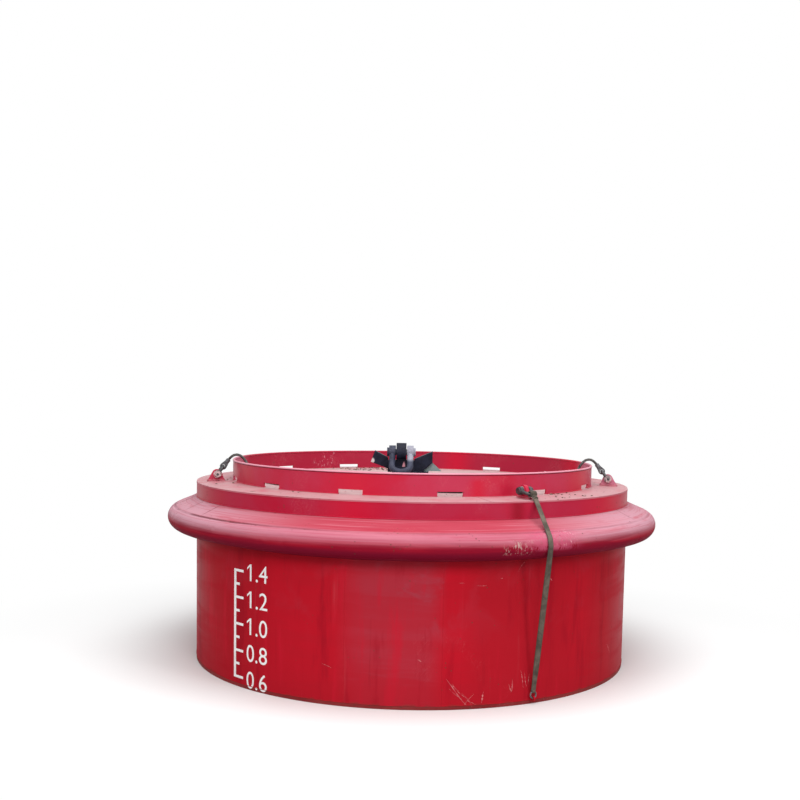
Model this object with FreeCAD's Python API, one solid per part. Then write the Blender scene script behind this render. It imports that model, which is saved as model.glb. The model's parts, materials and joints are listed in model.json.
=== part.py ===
import FreeCAD, Part
import math
import os

# Steel mooring buoy: a flat-bottomed drum with a fender, a ring coaming on a
# cambered deck, lifting lugs and a swivelling mooring head. Millimetres, +Z up.
# The origin is the centre of the underside. Azimuth is measured from -Y and
# grows towards +X, so azimuth 90 is the +X side.

# Hull
hull_radius = 1800.0
deck_edge_height = 1460.0
shell_thickness = 12.0
camber_angle = 2.0
sheer_band_height = 122.0
docking_ring_height = 28.0
docking_ring_width = 60.0
bottom_thickness = 12.0
deck_thickness = 12.0

# Fender: a round nose joined to the hull by sloping faces above and below
fender_height = 290.0
fender_nose_drop = 163.0
fender_nose_radius = 98.0
fender_projection = 235.0
fender_joint_azimuth = 102.0
fender_joint_gap = 3.0

# Coaming
deck_walk_width = 295.0
coaming_thickness = 12.0
coaming_height = 178.0
rim_bar_radius = 10.0
rim_bar_steps = 12
scupper_count = 13
scupper_first_azimuth = 10.6
scupper_width = 188.0
scupper_height = 35.0

# Hawse pipe and what is in it
pipe_radius = 162.0
pipe_wall = 12.0
hawse_ring_radius = 260.0
tension_bar_radius = 45.0
bearing_clearance = 0.1
guide_height = 330.0
guide_thickness = 20.0
chain_eye_height = 140.0
chain_eye_radius = 65.0
chain_eye_bore = 30.0
chain_eye_thickness = 60.0
chain_eye_shoulder = 40.0

# Zinc anodes under the bottom
anode_count = 4
anode_length = 420.0
anode_width = 70.0
anode_thickness = 22.0
anode_ring_radius = 1150.0

# Manholes
manhole_azimuths = (-45.0, 45.0)
manhole_ring_radius = 800.0
manhole_radius = 335.0
manhole_frame_height = 16.0
manhole_cover_thickness = 12.0
manhole_grip_radius = 24.0
manhole_grip_bar = 6.0

# Lifting lugs
lug_azimuths = {"left": -75.0, "front": 29.5, "right": 84.0, "back": 208.5}
lug_setback = 160.0
lug_hole_height = 56.0
lug_hole_radius = 23.0
lug_head_radius = 40.0
lug_inner_foot = 58.0
lug_outer_foot = 76.0
lug_thickness = 28.0
lug_boss_thickness = 6.0
lug_boss_radius = 33.0
pad_margin = 4.0
pad_width = 40.0
pad_thickness = 10.0
pad_corner_radius = 8.0

# Shackle pins: head and nut as shares of the pin's radius
pin_head_thickness = 0.7
pin_head_radius = 1.5
pin_nut_radius = 1.4

# Shackles on the lugs
small_shackle = {"pin": 16.0, "bar": 12.0, "ear": 29.0, "ear_thickness": 26.0,
                 "inside_width": 48.0, "inside_length": 84.0}
sling_shackle = dict(small_shackle, inside_length=62.0)
sling_rim_clearance = 24.0
strap_fall = 8.0
free_shackle_fall = 21.0
loose_fit = 0.3

# Mooring head on its swivel; its heights are above the deck at the base's edge
base_radius = 150.0
base_height = 8.4
hub_radius = 62.0
hub_depth = 60.0
turntable_radius = 140.0
turntable_thickness = 16.0
turntable_gap = 0.4
head_offset = -92.5
head_eye_thickness = 84.0
head_eye_radius = 78.0
head_eye_foot = 50.0
head_pin_height = 187.4
yoke_depth = 84.0
yoke_top_height = 120.4
left_horn_reach = 350.0
right_horn_reach = 173.0
horn_tip_height = 198.4
horn_foot_height = 102.4
horn_tip_inset = 33.0
horn_root_rise = 22.0
horn_clearance = 8.0
yoke_foot = 85.0
yoke_rounding = 6.0
gusset_reach = 252.0
gusset_thickness = 16.0
gusset_gap = 3.0
gusset_foot_height = 30.4
mooring_shackle = {"pin": 25.0, "bar": 27.0, "ear": 56.0, "ear_thickness": 56.0,
                   "inside_width": 96.0, "inside_length": 240.0}
mooring_shackle_fall = 35.0
rest_distance = 112.0
rest_thickness = 16.0

# Wire-rope sling between the left and the right lug
rope_radius = 11.0
thimble_radius = 27.0
thimble_hole = 14.5
thimble_slack = 2.0
thimble_length = 42.0
thimble_thickness = 22.0
ferrule_radius = 18.0
ferrule_length = 30.0
rope_lead = 46.0

# Lashing strap from the front lug to an eye low on the hull
strap_width = 38.0
strap_thickness = 8.0
strap_sleeve_radius = 13.0
strap_sleeve_width = 30.0
knot_radius = 24.0
knot_width = 54.0
strap_corner_radius = 16.0
strap_clearance = 0.5
lashing_eye_height = 38.0
lashing_eye_reach = 44.0
lashing_eye_radius = 22.0
lashing_eye_bore = 14.0
lashing_eye_thickness = 12.0
strap_ring_radius = 24.0
strap_ring_bar = 6.0
strap_ring_slack = 1.2

deck_slope = math.tan(math.radians(camber_angle))
coaming_radius = hull_radius - deck_walk_width
lug_radius = hull_radius - lug_setback
origin = FreeCAD.Vector(0, 0, 0)
x_axis = FreeCAD.Vector(1, 0, 0)
y_axis = FreeCAD.Vector(0, 1, 0)
z_axis = FreeCAD.Vector(0, 0, 1)
nodes = {}


def deck_height(radius):
    """Height of the deck's upper face at a distance from the centre line."""
    return deck_edge_height + (hull_radius - radius) * deck_slope


def at_azimuth(shape, azimuth):
    """Turn a shape that was made along +X round to an azimuth."""
    turned = shape.copy()
    turned.rotate(origin, z_axis, azimuth - 90.0)
    return turned


def polar(azimuth, radius, height):
    angle = math.radians(azimuth)
    return FreeCAD.Vector(radius * math.sin(angle), -radius * math.cos(angle), height)


def face_xz(points):
    """Flat face in the XZ plane through (x, z) points."""
    corners = [FreeCAD.Vector(x, 0, z) for x, z in points]
    return Part.Face(Part.makePolygon(corners + corners[:1]))


def turned_solid(points, start=0.0, sweep=360.0):
    """Solid of revolution about Z from (radius, height) points."""
    face = face_xz(points)
    face.rotate(origin, z_axis, start)
    return face.revolve(origin, z_axis, sweep)


def ring(inner, outer, low, high):
    return turned_solid([(inner, low), (outer, low), (outer, high), (inner, high)])


def plate_xz(points, thickness, middle=0.0):
    """Plate that stands in the XZ plane, centred on y = middle."""
    face = face_xz(points)
    face.translate(FreeCAD.Vector(0, middle - thickness / 2, 0))
    return face.extrude(FreeCAD.Vector(0, thickness, 0))


def disc_y(x, z, radius, thickness, middle=0.0):
    """Disc with its axis along Y."""
    start = FreeCAD.Vector(x, middle - thickness / 2, z)
    return Part.makeCylinder(radius, thickness, start, y_axis)


def on_deck(shape, radius, azimuth):
    """Seat a shape made round the origin on the sloping deck."""
    seated = shape.copy()
    seated.rotate(origin, y_axis, camber_angle)
    seated.translate(FreeCAD.Vector(radius, 0, deck_height(radius)))
    return at_azimuth(seated, azimuth)


def tangent_on_circle(point, centre, radius, side):
    """Where a line from a point touches a circle, in one plane; side is +1 or -1."""
    away = math.atan2(point[1] - centre[1], point[0] - centre[0])
    distance = math.hypot(point[0] - centre[0], point[1] - centre[1])
    angle = away + side * math.acos(radius / distance)
    return (centre[0] + radius * math.cos(angle), centre[1] + radius * math.sin(angle))


def flat_wire(steps):
    """Closed wire in XZ: ("line", point) or ("arc", middle, end) from the last point on."""
    def vector(point):
        return FreeCAD.Vector(point[0], 0, point[1])

    edges = []
    here = steps[-1][-1]
    for step in steps:
        if step[0] == "line":
            edges.append(Part.LineSegment(vector(here), vector(step[1])).toShape())
        else:
            edges.append(Part.Arc(vector(here), vector(step[1]), vector(step[2])).toShape())
        here = step[-1]
    return Part.Wire(edges)


# Hull --------------------------------------------------------------------

def make_hull():
    under_deck = deck_edge_height - deck_thickness
    rise = (hull_radius - pipe_radius) * deck_slope
    band_foot = deck_edge_height - sheer_band_height
    inner = hull_radius - shell_thickness
    bottom_top = docking_ring_height + bottom_thickness
    nodes["docking_ring"] = ring(hull_radius - docking_ring_width, hull_radius, 0, docking_ring_height)
    nodes["hawse_ring"] = ring(pipe_radius, hawse_ring_radius, 0, docking_ring_height)
    nodes["bottom_plate"] = ring(pipe_radius, inner, docking_ring_height, bottom_top)
    nodes["hull_drum"] = turned_solid([
        (pipe_radius, bottom_top), (inner, bottom_top), (inner, docking_ring_height),
        (hull_radius, docking_ring_height), (hull_radius, band_foot), (inner, band_foot),
        (inner, under_deck + shell_thickness * deck_slope), (pipe_radius, under_deck + rise)])
    nodes["sheer_band"] = turned_solid([
        (inner, band_foot), (hull_radius, band_foot), (hull_radius, under_deck),
        (inner, under_deck + shell_thickness * deck_slope)])
    nodes["deck_plate"] = turned_solid([
        (hub_radius, deck_height(hub_radius) - deck_thickness), (hull_radius, under_deck),
        (hull_radius, deck_edge_height), (hub_radius, deck_height(hub_radius))])
    nodes["hawse_pipe"] = ring(pipe_radius - pipe_wall, pipe_radius, 0, under_deck + rise)


def make_fender():
    root_top = (hull_radius, deck_edge_height - sheer_band_height)
    root_bottom = (hull_radius, root_top[1] - fender_height)
    nose = (hull_radius + fender_projection - fender_nose_radius, root_top[1] - fender_nose_drop)
    upper = tangent_on_circle(root_top, nose, fender_nose_radius, -1)
    lower = tangent_on_circle(root_bottom, nose, fender_nose_radius, 1)
    tip = (nose[0] + fender_nose_radius, nose[1])
    outline = flat_wire([("line", upper), ("arc", tip, lower), ("line", root_bottom), ("line", root_top)])
    gap = math.degrees(fender_joint_gap / hull_radius)
    for name, azimuth in (("fender_front", fender_joint_azimuth - 180), ("fender_back", fender_joint_azimuth)):
        face = Part.Face(outline)
        face.rotate(origin, z_axis, azimuth - 90 + gap / 2)
        nodes[name] = face.revolve(origin, z_axis, 180 - gap)
    return nose


def make_anodes():
    blocks = []
    for index in range(anode_count):
        corner = FreeCAD.Vector(-anode_length / 2, anode_ring_radius - anode_width / 2,
                                docking_ring_height - anode_thickness)
        block = Part.makeBox(anode_length, anode_width, anode_thickness, corner)
        block.rotate(origin, z_axis, 360.0 * index / anode_count + 45)
        blocks.append(block)
    nodes["zinc_anodes"] = Part.makeCompound(blocks)


# Coaming -----------------------------------------------------------------

def make_coaming():
    inner = coaming_radius - coaming_thickness
    middle = coaming_radius - coaming_thickness / 2
    bar_height = deck_edge_height + coaming_height - rim_bar_radius
    wall = turned_solid([(inner, deck_height(inner)), (coaming_radius, deck_height(coaming_radius)),
                         (coaming_radius, bar_height), (inner, bar_height)])
    for index in range(scupper_count):
        notch = Part.makeBox(4 * coaming_thickness, scupper_width, 2 * scupper_height,
                             FreeCAD.Vector(middle - 2 * coaming_thickness, -scupper_width / 2,
                                            deck_height(coaming_radius) - scupper_height))
        wall = wall.cut(at_azimuth(notch, scupper_first_azimuth + 360.0 * index / scupper_count))
    nodes["coaming_wall"] = wall
    drop = math.asin(math.sqrt(rim_bar_radius ** 2 - (coaming_thickness / 2) ** 2) / rim_bar_radius)

    def on_bar(step):
        angle = -drop + (math.pi + 2 * drop) * step / rim_bar_steps
        return middle + rim_bar_radius * math.cos(angle), bar_height + rim_bar_radius * math.sin(angle)

    bar = [("line", (coaming_radius, bar_height)), ("line", on_bar(0))]
    bar += [("arc", on_bar(step - 1), on_bar(step)) for step in range(2, rim_bar_steps + 1, 2)]
    bar.append(("line", (inner, bar_height)))
    nodes["coaming_rim"] = Part.Face(flat_wire(bar)).revolve(origin, z_axis, 360)


# Shackles: the pin lies along Y through the origin and the bow points to +X --

def shackle_bow(size, swell=0.0):
    leg_middle = (size["inside_width"] + size["ear_thickness"]) / 2
    bend_start = size["inside_length"] + size["bar"] - leg_middle
    bar = size["bar"] + swell
    bend = Part.makeTorus(leg_middle, bar, FreeCAD.Vector(bend_start, 0, 0), z_axis)
    half = Part.makeBox(4 * leg_middle, 4 * leg_middle, 4 * leg_middle,
                        FreeCAD.Vector(bend_start, -2 * leg_middle, -2 * leg_middle))
    bow = bend.common(half)
    for side in (-1, 1):
        leg = Part.makeCylinder(bar, bend_start, FreeCAD.Vector(0, side * leg_middle, 0), x_axis)
        ear = disc_y(0, 0, size["ear"] + swell, size["ear_thickness"] + 2 * swell, side * leg_middle)
        inside = disc_y(0, 0, 2 * size["ear"], size["inside_width"])
        bow = bow.fuse(leg.fuse(ear).cut(inside))
    bore = disc_y(0, 0, size["pin"], 8 * leg_middle)
    return bow.cut(bore).removeSplitter()


def shackle_pin(size):
    outside = size["inside_width"] / 2 + size["ear_thickness"]
    head = size["pin"] * pin_head_thickness
    pin = disc_y(0, 0, size["pin"], 2 * outside)
    pin = pin.fuse(disc_y(0, 0, size["pin"] * pin_head_radius, head, -outside - head / 2))
    return pin.fuse(disc_y(0, 0, size["pin"] * pin_nut_radius, head, outside + head / 2)).removeSplitter()


def bow_reach(size):
    """From the pin's centre to the middle of the bar at the end of the bow."""
    return size["inside_length"] + size["bar"]


# Lifting lugs ------------------------------------------------------------

def lug():
    """Lug plate, hole bosses and pad, with the hole above the origin on the deck."""
    foot = pad_thickness
    head = (0.0, lug_hole_height)
    inner_foot = (-lug_inner_foot, foot)
    outer_foot = (lug_outer_foot, foot)
    inner = tangent_on_circle(inner_foot, head, lug_head_radius, -1)
    outer = tangent_on_circle(outer_foot, head, lug_head_radius, 1)
    crown = (head[0], head[1] + lug_head_radius)
    face = Part.Face(flat_wire([("line", outer_foot), ("line", outer), ("arc", crown, inner),
                                ("line", inner_foot)]))
    face.translate(FreeCAD.Vector(0, -lug_thickness / 2, 0))
    plate = face.extrude(FreeCAD.Vector(0, lug_thickness, 0))
    plate = plate.fuse(disc_y(0, lug_hole_height, lug_boss_radius, lug_thickness + 2 * lug_boss_thickness))
    length = lug_inner_foot + lug_outer_foot + 2 * pad_margin
    pad = Part.makeBox(length, pad_width, pad_thickness,
                       FreeCAD.Vector(-lug_inner_foot - pad_margin, -pad_width / 2, 0))
    plate = plate.fuse(pad.makeFillet(pad_corner_radius, [pad.Edges[i] for i in (0, 2, 4, 6)]))
    return plate.cut(disc_y(0, lug_hole_height, lug_hole_radius, 2 * pad_width)).removeSplitter()


def in_lug(shape, rise, inward):
    """Hang a shackle part in the lug hole; rise is the bow's angle above level."""
    hung = shape.copy()
    angle = math.radians(rise)
    slack = lug_hole_radius - small_shackle["pin"] - loose_fit
    reach = -1 if inward else 1
    if inward:
        hung.rotate(origin, z_axis, 180)
    hung.rotate(origin, y_axis, rise if inward else -rise)
    hung.translate(FreeCAD.Vector(reach * slack * math.cos(angle), 0,
                                  lug_hole_height + slack * math.sin(angle)))
    return hung


def sling_rise():
    """Angle above the deck at which the rope clears the coaming's rim bar."""
    hole = on_deck(Part.Vertex(FreeCAD.Vector(0, 0, lug_hole_height)), lug_radius, 90.0).Point
    rim = (coaming_radius - coaming_thickness / 2, deck_edge_height + coaming_height - rim_bar_radius)
    away = math.hypot(hole.x - rim[0], hole.z - rim[1])
    level = math.atan2(rim[1] - hole.z, hole.x - rim[0])
    over = math.asin((rim_bar_radius + rope_radius + sling_rim_clearance) / away)
    return math.degrees(level + over) - camber_angle


def make_lugs():
    rise = sling_rise()
    poses = {"left": (rise, True), "right": (rise, True),
             "front": (-strap_fall, False), "back": (-free_shackle_fall, False)}
    for name, azimuth in lug_azimuths.items():
        nodes["lifting_lug_" + name] = on_deck(lug(), lug_radius, azimuth)
        size = sling_shackle if poses[name][1] else small_shackle
        bow = in_lug(shackle_bow(size), *poses[name])
        pin = in_lug(shackle_pin(size), *poses[name])
        nodes["shackle_bow_" + name] = on_deck(bow, lug_radius, azimuth)
        nodes["shackle_pin_" + name] = on_deck(pin, lug_radius, azimuth)


# Manholes ----------------------------------------------------------------

def make_manholes():
    frame = Part.makeCylinder(manhole_radius, manhole_frame_height)
    cover = Part.makeCylinder(manhole_radius, manhole_cover_thickness, FreeCAD.Vector(0, 0, manhole_frame_height))
    top = manhole_frame_height + manhole_cover_thickness
    grip = Part.makeTorus(manhole_grip_radius, manhole_grip_bar, FreeCAD.Vector(0, 0, top), y_axis)
    above = ring(0, manhole_radius, top, top + manhole_radius)
    for name, azimuth in zip(("left", "right"), manhole_azimuths):
        nodes["manhole_frame_" + name] = on_deck(frame, manhole_ring_radius, azimuth)
        nodes["manhole_cover_" + name] = on_deck(cover.fuse(grip.common(above)), manhole_ring_radius, azimuth)


# Mooring head ------------------------------------------------------------

def head_seat():
    """Height of the deck where the edge of the bearing base stands on it."""
    return deck_height(base_radius)


def make_swivel():
    base_top = head_seat() + base_height
    bore = tension_bar_radius + bearing_clearance
    nodes["bearing_base"] = turned_solid([
        (bore, deck_height(hub_radius) - hub_depth), (hub_radius, deck_height(hub_radius) - hub_depth),
        (hub_radius, deck_height(hub_radius)), (base_radius, deck_height(base_radius)),
        (base_radius, base_top), (bore, base_top)])
    table_low = base_top + turntable_gap
    table_top = table_low + turntable_thickness
    nodes["swivel_turntable"] = Part.makeCylinder(turntable_radius, turntable_thickness,
                                                  FreeCAD.Vector(0, 0, table_low))
    eye_top = guide_height - 2 * guide_thickness
    bar = Part.makeCylinder(tension_bar_radius, table_low - eye_top, FreeCAD.Vector(0, 0, eye_top))
    eye = plate_xz([(-chain_eye_radius, chain_eye_height), (chain_eye_radius, chain_eye_height),
                    (chain_eye_radius, eye_top - chain_eye_shoulder), (tension_bar_radius, eye_top),
                    (-tension_bar_radius, eye_top), (-chain_eye_radius, eye_top - chain_eye_shoulder)],
                   chain_eye_thickness)
    eye = eye.fuse(disc_y(0, chain_eye_height, chain_eye_radius, chain_eye_thickness))
    eye = eye.cut(disc_y(0, chain_eye_height, chain_eye_bore, 2 * chain_eye_thickness))
    nodes["tension_bar"] = bar.fuse(eye).removeSplitter()
    nodes["lower_guide"] = ring(tension_bar_radius + loose_fit, pipe_radius - pipe_wall, guide_height,
                                guide_height + guide_thickness)
    return table_top


def in_head(shape):
    """Turn a shape made with its pin along Y and its front to +X into the head's place."""
    placed = shape.copy()
    placed.rotate(origin, z_axis, -90)
    placed.translate(FreeCAD.Vector(head_offset, 0, 0))
    return placed


def make_head(table_top):
    pin_z = head_seat() + head_pin_height
    yoke_top = head_seat() + yoke_top_height
    tip_top = head_seat() + horn_tip_height
    tip_low = head_seat() + horn_foot_height
    outside = mooring_shackle["inside_width"] / 2 + mooring_shackle["ear_thickness"] + horn_clearance
    left = head_offset - outside
    right = head_offset + outside
    yoke = plate_xz([
        (-turntable_radius, table_top), (-left_horn_reach, tip_low),
        (-left_horn_reach + horn_tip_inset, tip_top), (left, yoke_top + horn_root_rise),
        (left, yoke_top), (right, yoke_top), (right, yoke_top + horn_root_rise / 2),
        (right_horn_reach, tip_top), (right_horn_reach, tip_low), (yoke_foot, table_top)], yoke_depth)
    edges = [edge for edge in yoke.Edges
             if abs(edge.CenterOfMass.y) > 1 and edge.BoundBox.ZMax > table_top + 1]
    nodes["horn_yoke"] = yoke.makeFillet(yoke_rounding, edges)
    gusset_foot = head_seat() + gusset_foot_height
    gusset_start = turntable_radius + gusset_gap
    nodes["horn_gusset"] = plate_xz([
        (yoke_foot, table_top), (gusset_start, table_top), (gusset_start, gusset_foot),
        (gusset_reach, gusset_foot), (right_horn_reach, tip_low)], gusset_thickness)

    eye = disc_y(0, pin_z, head_eye_radius, head_eye_thickness)
    foot = Part.makeBox(2 * head_eye_foot, head_eye_thickness, pin_z - yoke_top,
                        FreeCAD.Vector(-head_eye_foot, -head_eye_thickness / 2, yoke_top))
    below = Part.makeBox(4 * head_eye_radius, 2 * head_eye_thickness, head_eye_radius,
                         FreeCAD.Vector(-2 * head_eye_radius, -head_eye_thickness, yoke_top - head_eye_radius))
    bore = disc_y(0, pin_z, mooring_shackle["pin"] + bearing_clearance, 2 * head_eye_thickness)
    nodes["head_eye"] = in_head(eye.fuse(foot).cut(below).cut(bore).removeSplitter())

    for name, make in (("mooring_shackle_bow", shackle_bow), ("mooring_shackle_pin", shackle_pin)):
        shape = make(mooring_shackle)
        shape.rotate(origin, y_axis, mooring_shackle_fall)
        shape.translate(FreeCAD.Vector(0, 0, pin_z))
        nodes[name] = in_head(shape)

    fall = math.radians(mooring_shackle_fall)
    leg_low = pin_z - (rest_distance + rest_thickness / 2) * math.tan(fall) - mooring_shackle["bar"] / math.cos(fall)
    for name, side in (("front", 1), ("back", -1)):
        rest = Part.makeBox(rest_thickness, 2 * outside, leg_low - loose_fit - table_top,
                            FreeCAD.Vector(side * rest_distance - rest_thickness / 2, -outside, table_top))
        nodes["shackle_rest_" + name] = in_head(rest)


# Sling, strap and what they end in ----------------------------------------

def sling_end():
    """Thimble round the end of a shackle's bow, and the ferrule behind it, along +X."""
    apex = bow_reach(sling_shackle)
    centre = apex + thimble_hole - sling_shackle["bar"] - thimble_slack
    neck = centre + thimble_length
    upper = tangent_on_circle((neck, ferrule_radius), (centre, 0), thimble_radius, 1)
    face = Part.Face(flat_wire([("line", upper), ("arc", (centre - thimble_radius, 0), (upper[0], -upper[1])),
                                ("line", (neck, -ferrule_radius)), ("line", (neck, ferrule_radius))]))
    face.translate(FreeCAD.Vector(0, -thimble_thickness / 2, 0))
    thimble = face.extrude(FreeCAD.Vector(0, thimble_thickness, 0))
    thimble = thimble.cut(disc_y(centre, 0, thimble_hole, 2 * thimble_thickness))
    ferrule = Part.makeCylinder(ferrule_radius, ferrule_length, FreeCAD.Vector(neck, 0, 0), x_axis)
    return thimble.fuse(ferrule).removeSplitter(), neck + ferrule_length


def bent_tube(points, radius):
    """Round tube along straight runs joined by tangent arcs; prints each arc's radius."""
    edges = []
    radii = []
    here = points[0]
    for before, corner, after in zip(points, points[1:], points[2:]):
        back = before - corner
        on = after - corner
        reach = 0.45 * min(back.Length, on.Length)
        turn = math.pi - back.getAngle(on)
        bend = reach / math.tan(turn / 2)
        back.normalize()
        on.normalize()
        inward = (back + on).normalize()
        middle = corner + inward * (bend / math.cos(turn / 2) - bend)
        edges.append(Part.LineSegment(here, corner + back * reach).toShape())
        edges.append(Part.Arc(corner + back * reach, middle, corner + on * reach).toShape())
        here = corner + on * reach
        radii.append(round(bend))
    edges.append(Part.LineSegment(here, points[-1]).toShape())
    path = Part.Wire(edges)
    section = Part.Wire(Part.makeCircle(radius, points[0], points[1] - points[0]))
    tube = path.makePipeShell([section], True, False)
    ratio = tube.Volume / (math.pi * radius ** 2 * path.Length)
    print("tube length", round(path.Length), "volume ratio", round(ratio, 4), "radii", radii)
    return tube


def ribbon(circles, thickness, width):
    """Strap pulled tight over circles, each (x, z, radius) to the strap's middle, in XZ."""
    normals = []
    for (x0, z0, r0), (x1, z1, r1) in zip(circles, circles[1:]):
        heading = math.atan2(z1 - z0, x1 - x0)
        normals.append(heading + math.acos((r0 - r1) / math.hypot(x1 - x0, z1 - z0)))

    def point(circle, angle, offset):
        reach = circle[2] + offset
        return FreeCAD.Vector(circle[0] + reach * math.cos(angle), 0, circle[1] + reach * math.sin(angle))

    edges = []
    ends = []
    for offset in (thickness / 2, -thickness / 2):
        for index, angle in enumerate(normals):
            start = point(circles[index], angle, offset)
            end = point(circles[index + 1], angle, offset)
            edges.append(Part.LineSegment(start, end).toShape())
            if index + 1 < len(normals):
                middle = point(circles[index + 1], (angle + normals[index + 1]) / 2, offset)
                turned = point(circles[index + 1], normals[index + 1], offset)
                edges.append(Part.Arc(end, middle, turned).toShape())
        ends.append((point(circles[0], normals[0], offset), point(circles[-1], normals[-1], offset)))
    edges.append(Part.LineSegment(ends[0][0], ends[1][0]).toShape())
    edges.append(Part.LineSegment(ends[0][1], ends[1][1]).toShape())
    face = Part.Face(Part.Wire(Part.__sortEdges__(edges)))
    face.translate(FreeCAD.Vector(0, -width / 2, 0))
    return face.extrude(FreeCAD.Vector(0, width, 0))


# The sling's route as (azimuth, radius, height over the deck edge), lying on
# the deck where the height is None. Chosen by hand.
sling_route = [
    (-74.8, 1462, 222), (-74.6, 1420, 184), (-74.1, 1392, 130), (-72.9, 1374, 80), (-69.6, 1360, 40),
    (-64.5, 1345, None), (-56.5, 1338, None), (-47.0, 1345, None), (-37.0, 1300, None), (-27.0, 1235, None),
    (-17.0, 1200, None), (-6.0, 1215, None), (5.0, 1265, None), (16.0, 1325, None), (27.0, 1352, None),
    (38.0, 1330, None), (48.5, 1285, None), (58.5, 1290, None), (67.0, 1325, None), (74.0, 1350, None),
    (79.0, 1362, 40), (82.0, 1374, 80), (83.2, 1392, 130), (83.6, 1420, 184), (83.8, 1462, 222)]


def make_sling():
    end, reach = sling_end()
    points = []
    for azimuth, radius, height in sling_route:
        lying = deck_height(radius) + rope_radius + strap_clearance
        points.append(polar(azimuth, radius, lying if height is None else deck_edge_height + height))
    for name in ("left", "right"):
        azimuth = lug_azimuths[name]
        nodes["sling_end_" + name] = on_deck(in_lug(end, sling_rise(), True), lug_radius, azimuth)
        lead = []
        for along in (reach, reach + rope_lead):
            mark = Part.Vertex(FreeCAD.Vector(along, 0, 0))
            lead.append(on_deck(in_lug(mark, sling_rise(), True), lug_radius, azimuth).Point)
        points = lead + points if name == "left" else points + lead[::-1]
    nodes["sling_rope"] = bent_tube(points, rope_radius)


def make_strap(nose):
    azimuth = lug_azimuths["front"]
    tip = in_lug(Part.Vertex(FreeCAD.Vector(bow_reach(small_shackle), 0, 0)), -strap_fall, False)
    tilted = on_deck(tip, lug_radius, 90.0).Point
    knot = (tilted.x, tilted.z)
    hole = (hull_radius + lashing_eye_reach / 2, lashing_eye_height)
    ring_low = hole[1] + lashing_eye_bore - strap_ring_bar - strap_ring_slack
    ring_top = ring_low + 2 * strap_ring_radius
    corner = (hull_radius - strap_corner_radius / 2, deck_edge_height - strap_corner_radius / 2)
    nose_reach = fender_nose_radius + strap_clearance + strap_thickness / 2
    strap = ribbon([(knot[0], knot[1], 0.0), (corner[0], corner[1], strap_corner_radius),
                    (nose[0], nose[1], nose_reach), (hole[0], ring_top, 0.0)], strap_thickness, strap_width)
    strap = strap.fuse(disc_y(knot[0], knot[1], knot_radius, knot_width))
    strap = strap.fuse(disc_y(hole[0], ring_top, strap_sleeve_radius, strap_sleeve_width))
    loop = Part.makeTorus(strap_ring_radius, strap_ring_bar, FreeCAD.Vector(hole[0], 0, ring_low + strap_ring_radius),
                          x_axis)
    room = Part.makeTorus(strap_ring_radius, strap_ring_bar + loose_fit,
                          FreeCAD.Vector(hole[0], 0, ring_low + strap_ring_radius), x_axis)
    strap = at_azimuth(strap.cut(room), azimuth)
    swollen = on_deck(in_lug(shackle_bow(small_shackle, loose_fit), -strap_fall, False), lug_radius, azimuth)
    nodes["lashing_strap"] = strap.cut(swollen)
    nodes["strap_ring"] = at_azimuth(loop, azimuth)
    eye = Part.makeBox(hole[0] - hull_radius, lashing_eye_thickness, 2 * lashing_eye_radius,
                       FreeCAD.Vector(hull_radius, -lashing_eye_thickness / 2, hole[1] - lashing_eye_radius))
    eye = eye.fuse(disc_y(hole[0], hole[1], lashing_eye_radius, lashing_eye_thickness))
    eye = eye.cut(disc_y(hole[0], hole[1], lashing_eye_bore, 2 * lashing_eye_thickness))
    hull = Part.makeCylinder(hull_radius, deck_edge_height)
    nodes["lashing_eye"] = at_azimuth(eye.cut(hull).removeSplitter(), azimuth)


make_hull()
make_anodes()
make_coaming()
make_lugs()
make_manholes()
make_head(make_swivel())
make_sling()
make_strap(make_fender())

os.makedirs("parts", exist_ok=True)
for name, shape in nodes.items():
    shape.exportStep("parts/" + name + ".step")
print(len(nodes), "nodes, all valid:", all(shape.isValid() for shape in nodes.values()))
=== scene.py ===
# %% [markdown]
# # A steel mooring buoy
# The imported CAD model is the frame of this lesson: hull, fender, coaming, lugs,
# shackles and the swivelling mooring head are already the right size and in the
# right place, and each knows the body it moves with. What is left for Blender is
# what makes them look like a used steel buoy: paint, weld beads, bolts, a draft
# scale, wire rope, webbing, dirt, a camera and light. Lengths are in metres.

# %% Load the frame
import json
import math

import bmesh
import bpy
from mathutils import Matrix, Vector


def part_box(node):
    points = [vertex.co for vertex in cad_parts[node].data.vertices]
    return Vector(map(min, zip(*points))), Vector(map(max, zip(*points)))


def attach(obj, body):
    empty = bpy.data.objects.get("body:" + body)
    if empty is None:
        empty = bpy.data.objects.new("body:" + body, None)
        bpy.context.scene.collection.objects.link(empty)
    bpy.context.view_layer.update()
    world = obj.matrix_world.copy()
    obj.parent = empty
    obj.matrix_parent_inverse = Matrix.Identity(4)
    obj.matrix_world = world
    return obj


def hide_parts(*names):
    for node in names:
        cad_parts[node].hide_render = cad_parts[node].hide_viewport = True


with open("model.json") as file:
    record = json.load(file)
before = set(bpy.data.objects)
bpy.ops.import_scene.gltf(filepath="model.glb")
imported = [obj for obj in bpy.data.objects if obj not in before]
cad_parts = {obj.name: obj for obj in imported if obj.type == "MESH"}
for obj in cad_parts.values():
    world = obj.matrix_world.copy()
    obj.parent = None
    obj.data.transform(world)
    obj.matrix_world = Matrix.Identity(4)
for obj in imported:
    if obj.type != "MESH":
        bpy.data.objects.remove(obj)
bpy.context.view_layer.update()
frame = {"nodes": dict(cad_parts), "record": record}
cad = frame["nodes"]

# %% [markdown]
# Positions are read from the frame's own boxes, so a piece follows the model if
# a size changes. Azimuth is measured from -Y and grows towards +X, as it is in
# the model's source: the camera looks at azimuth 0.

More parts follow.
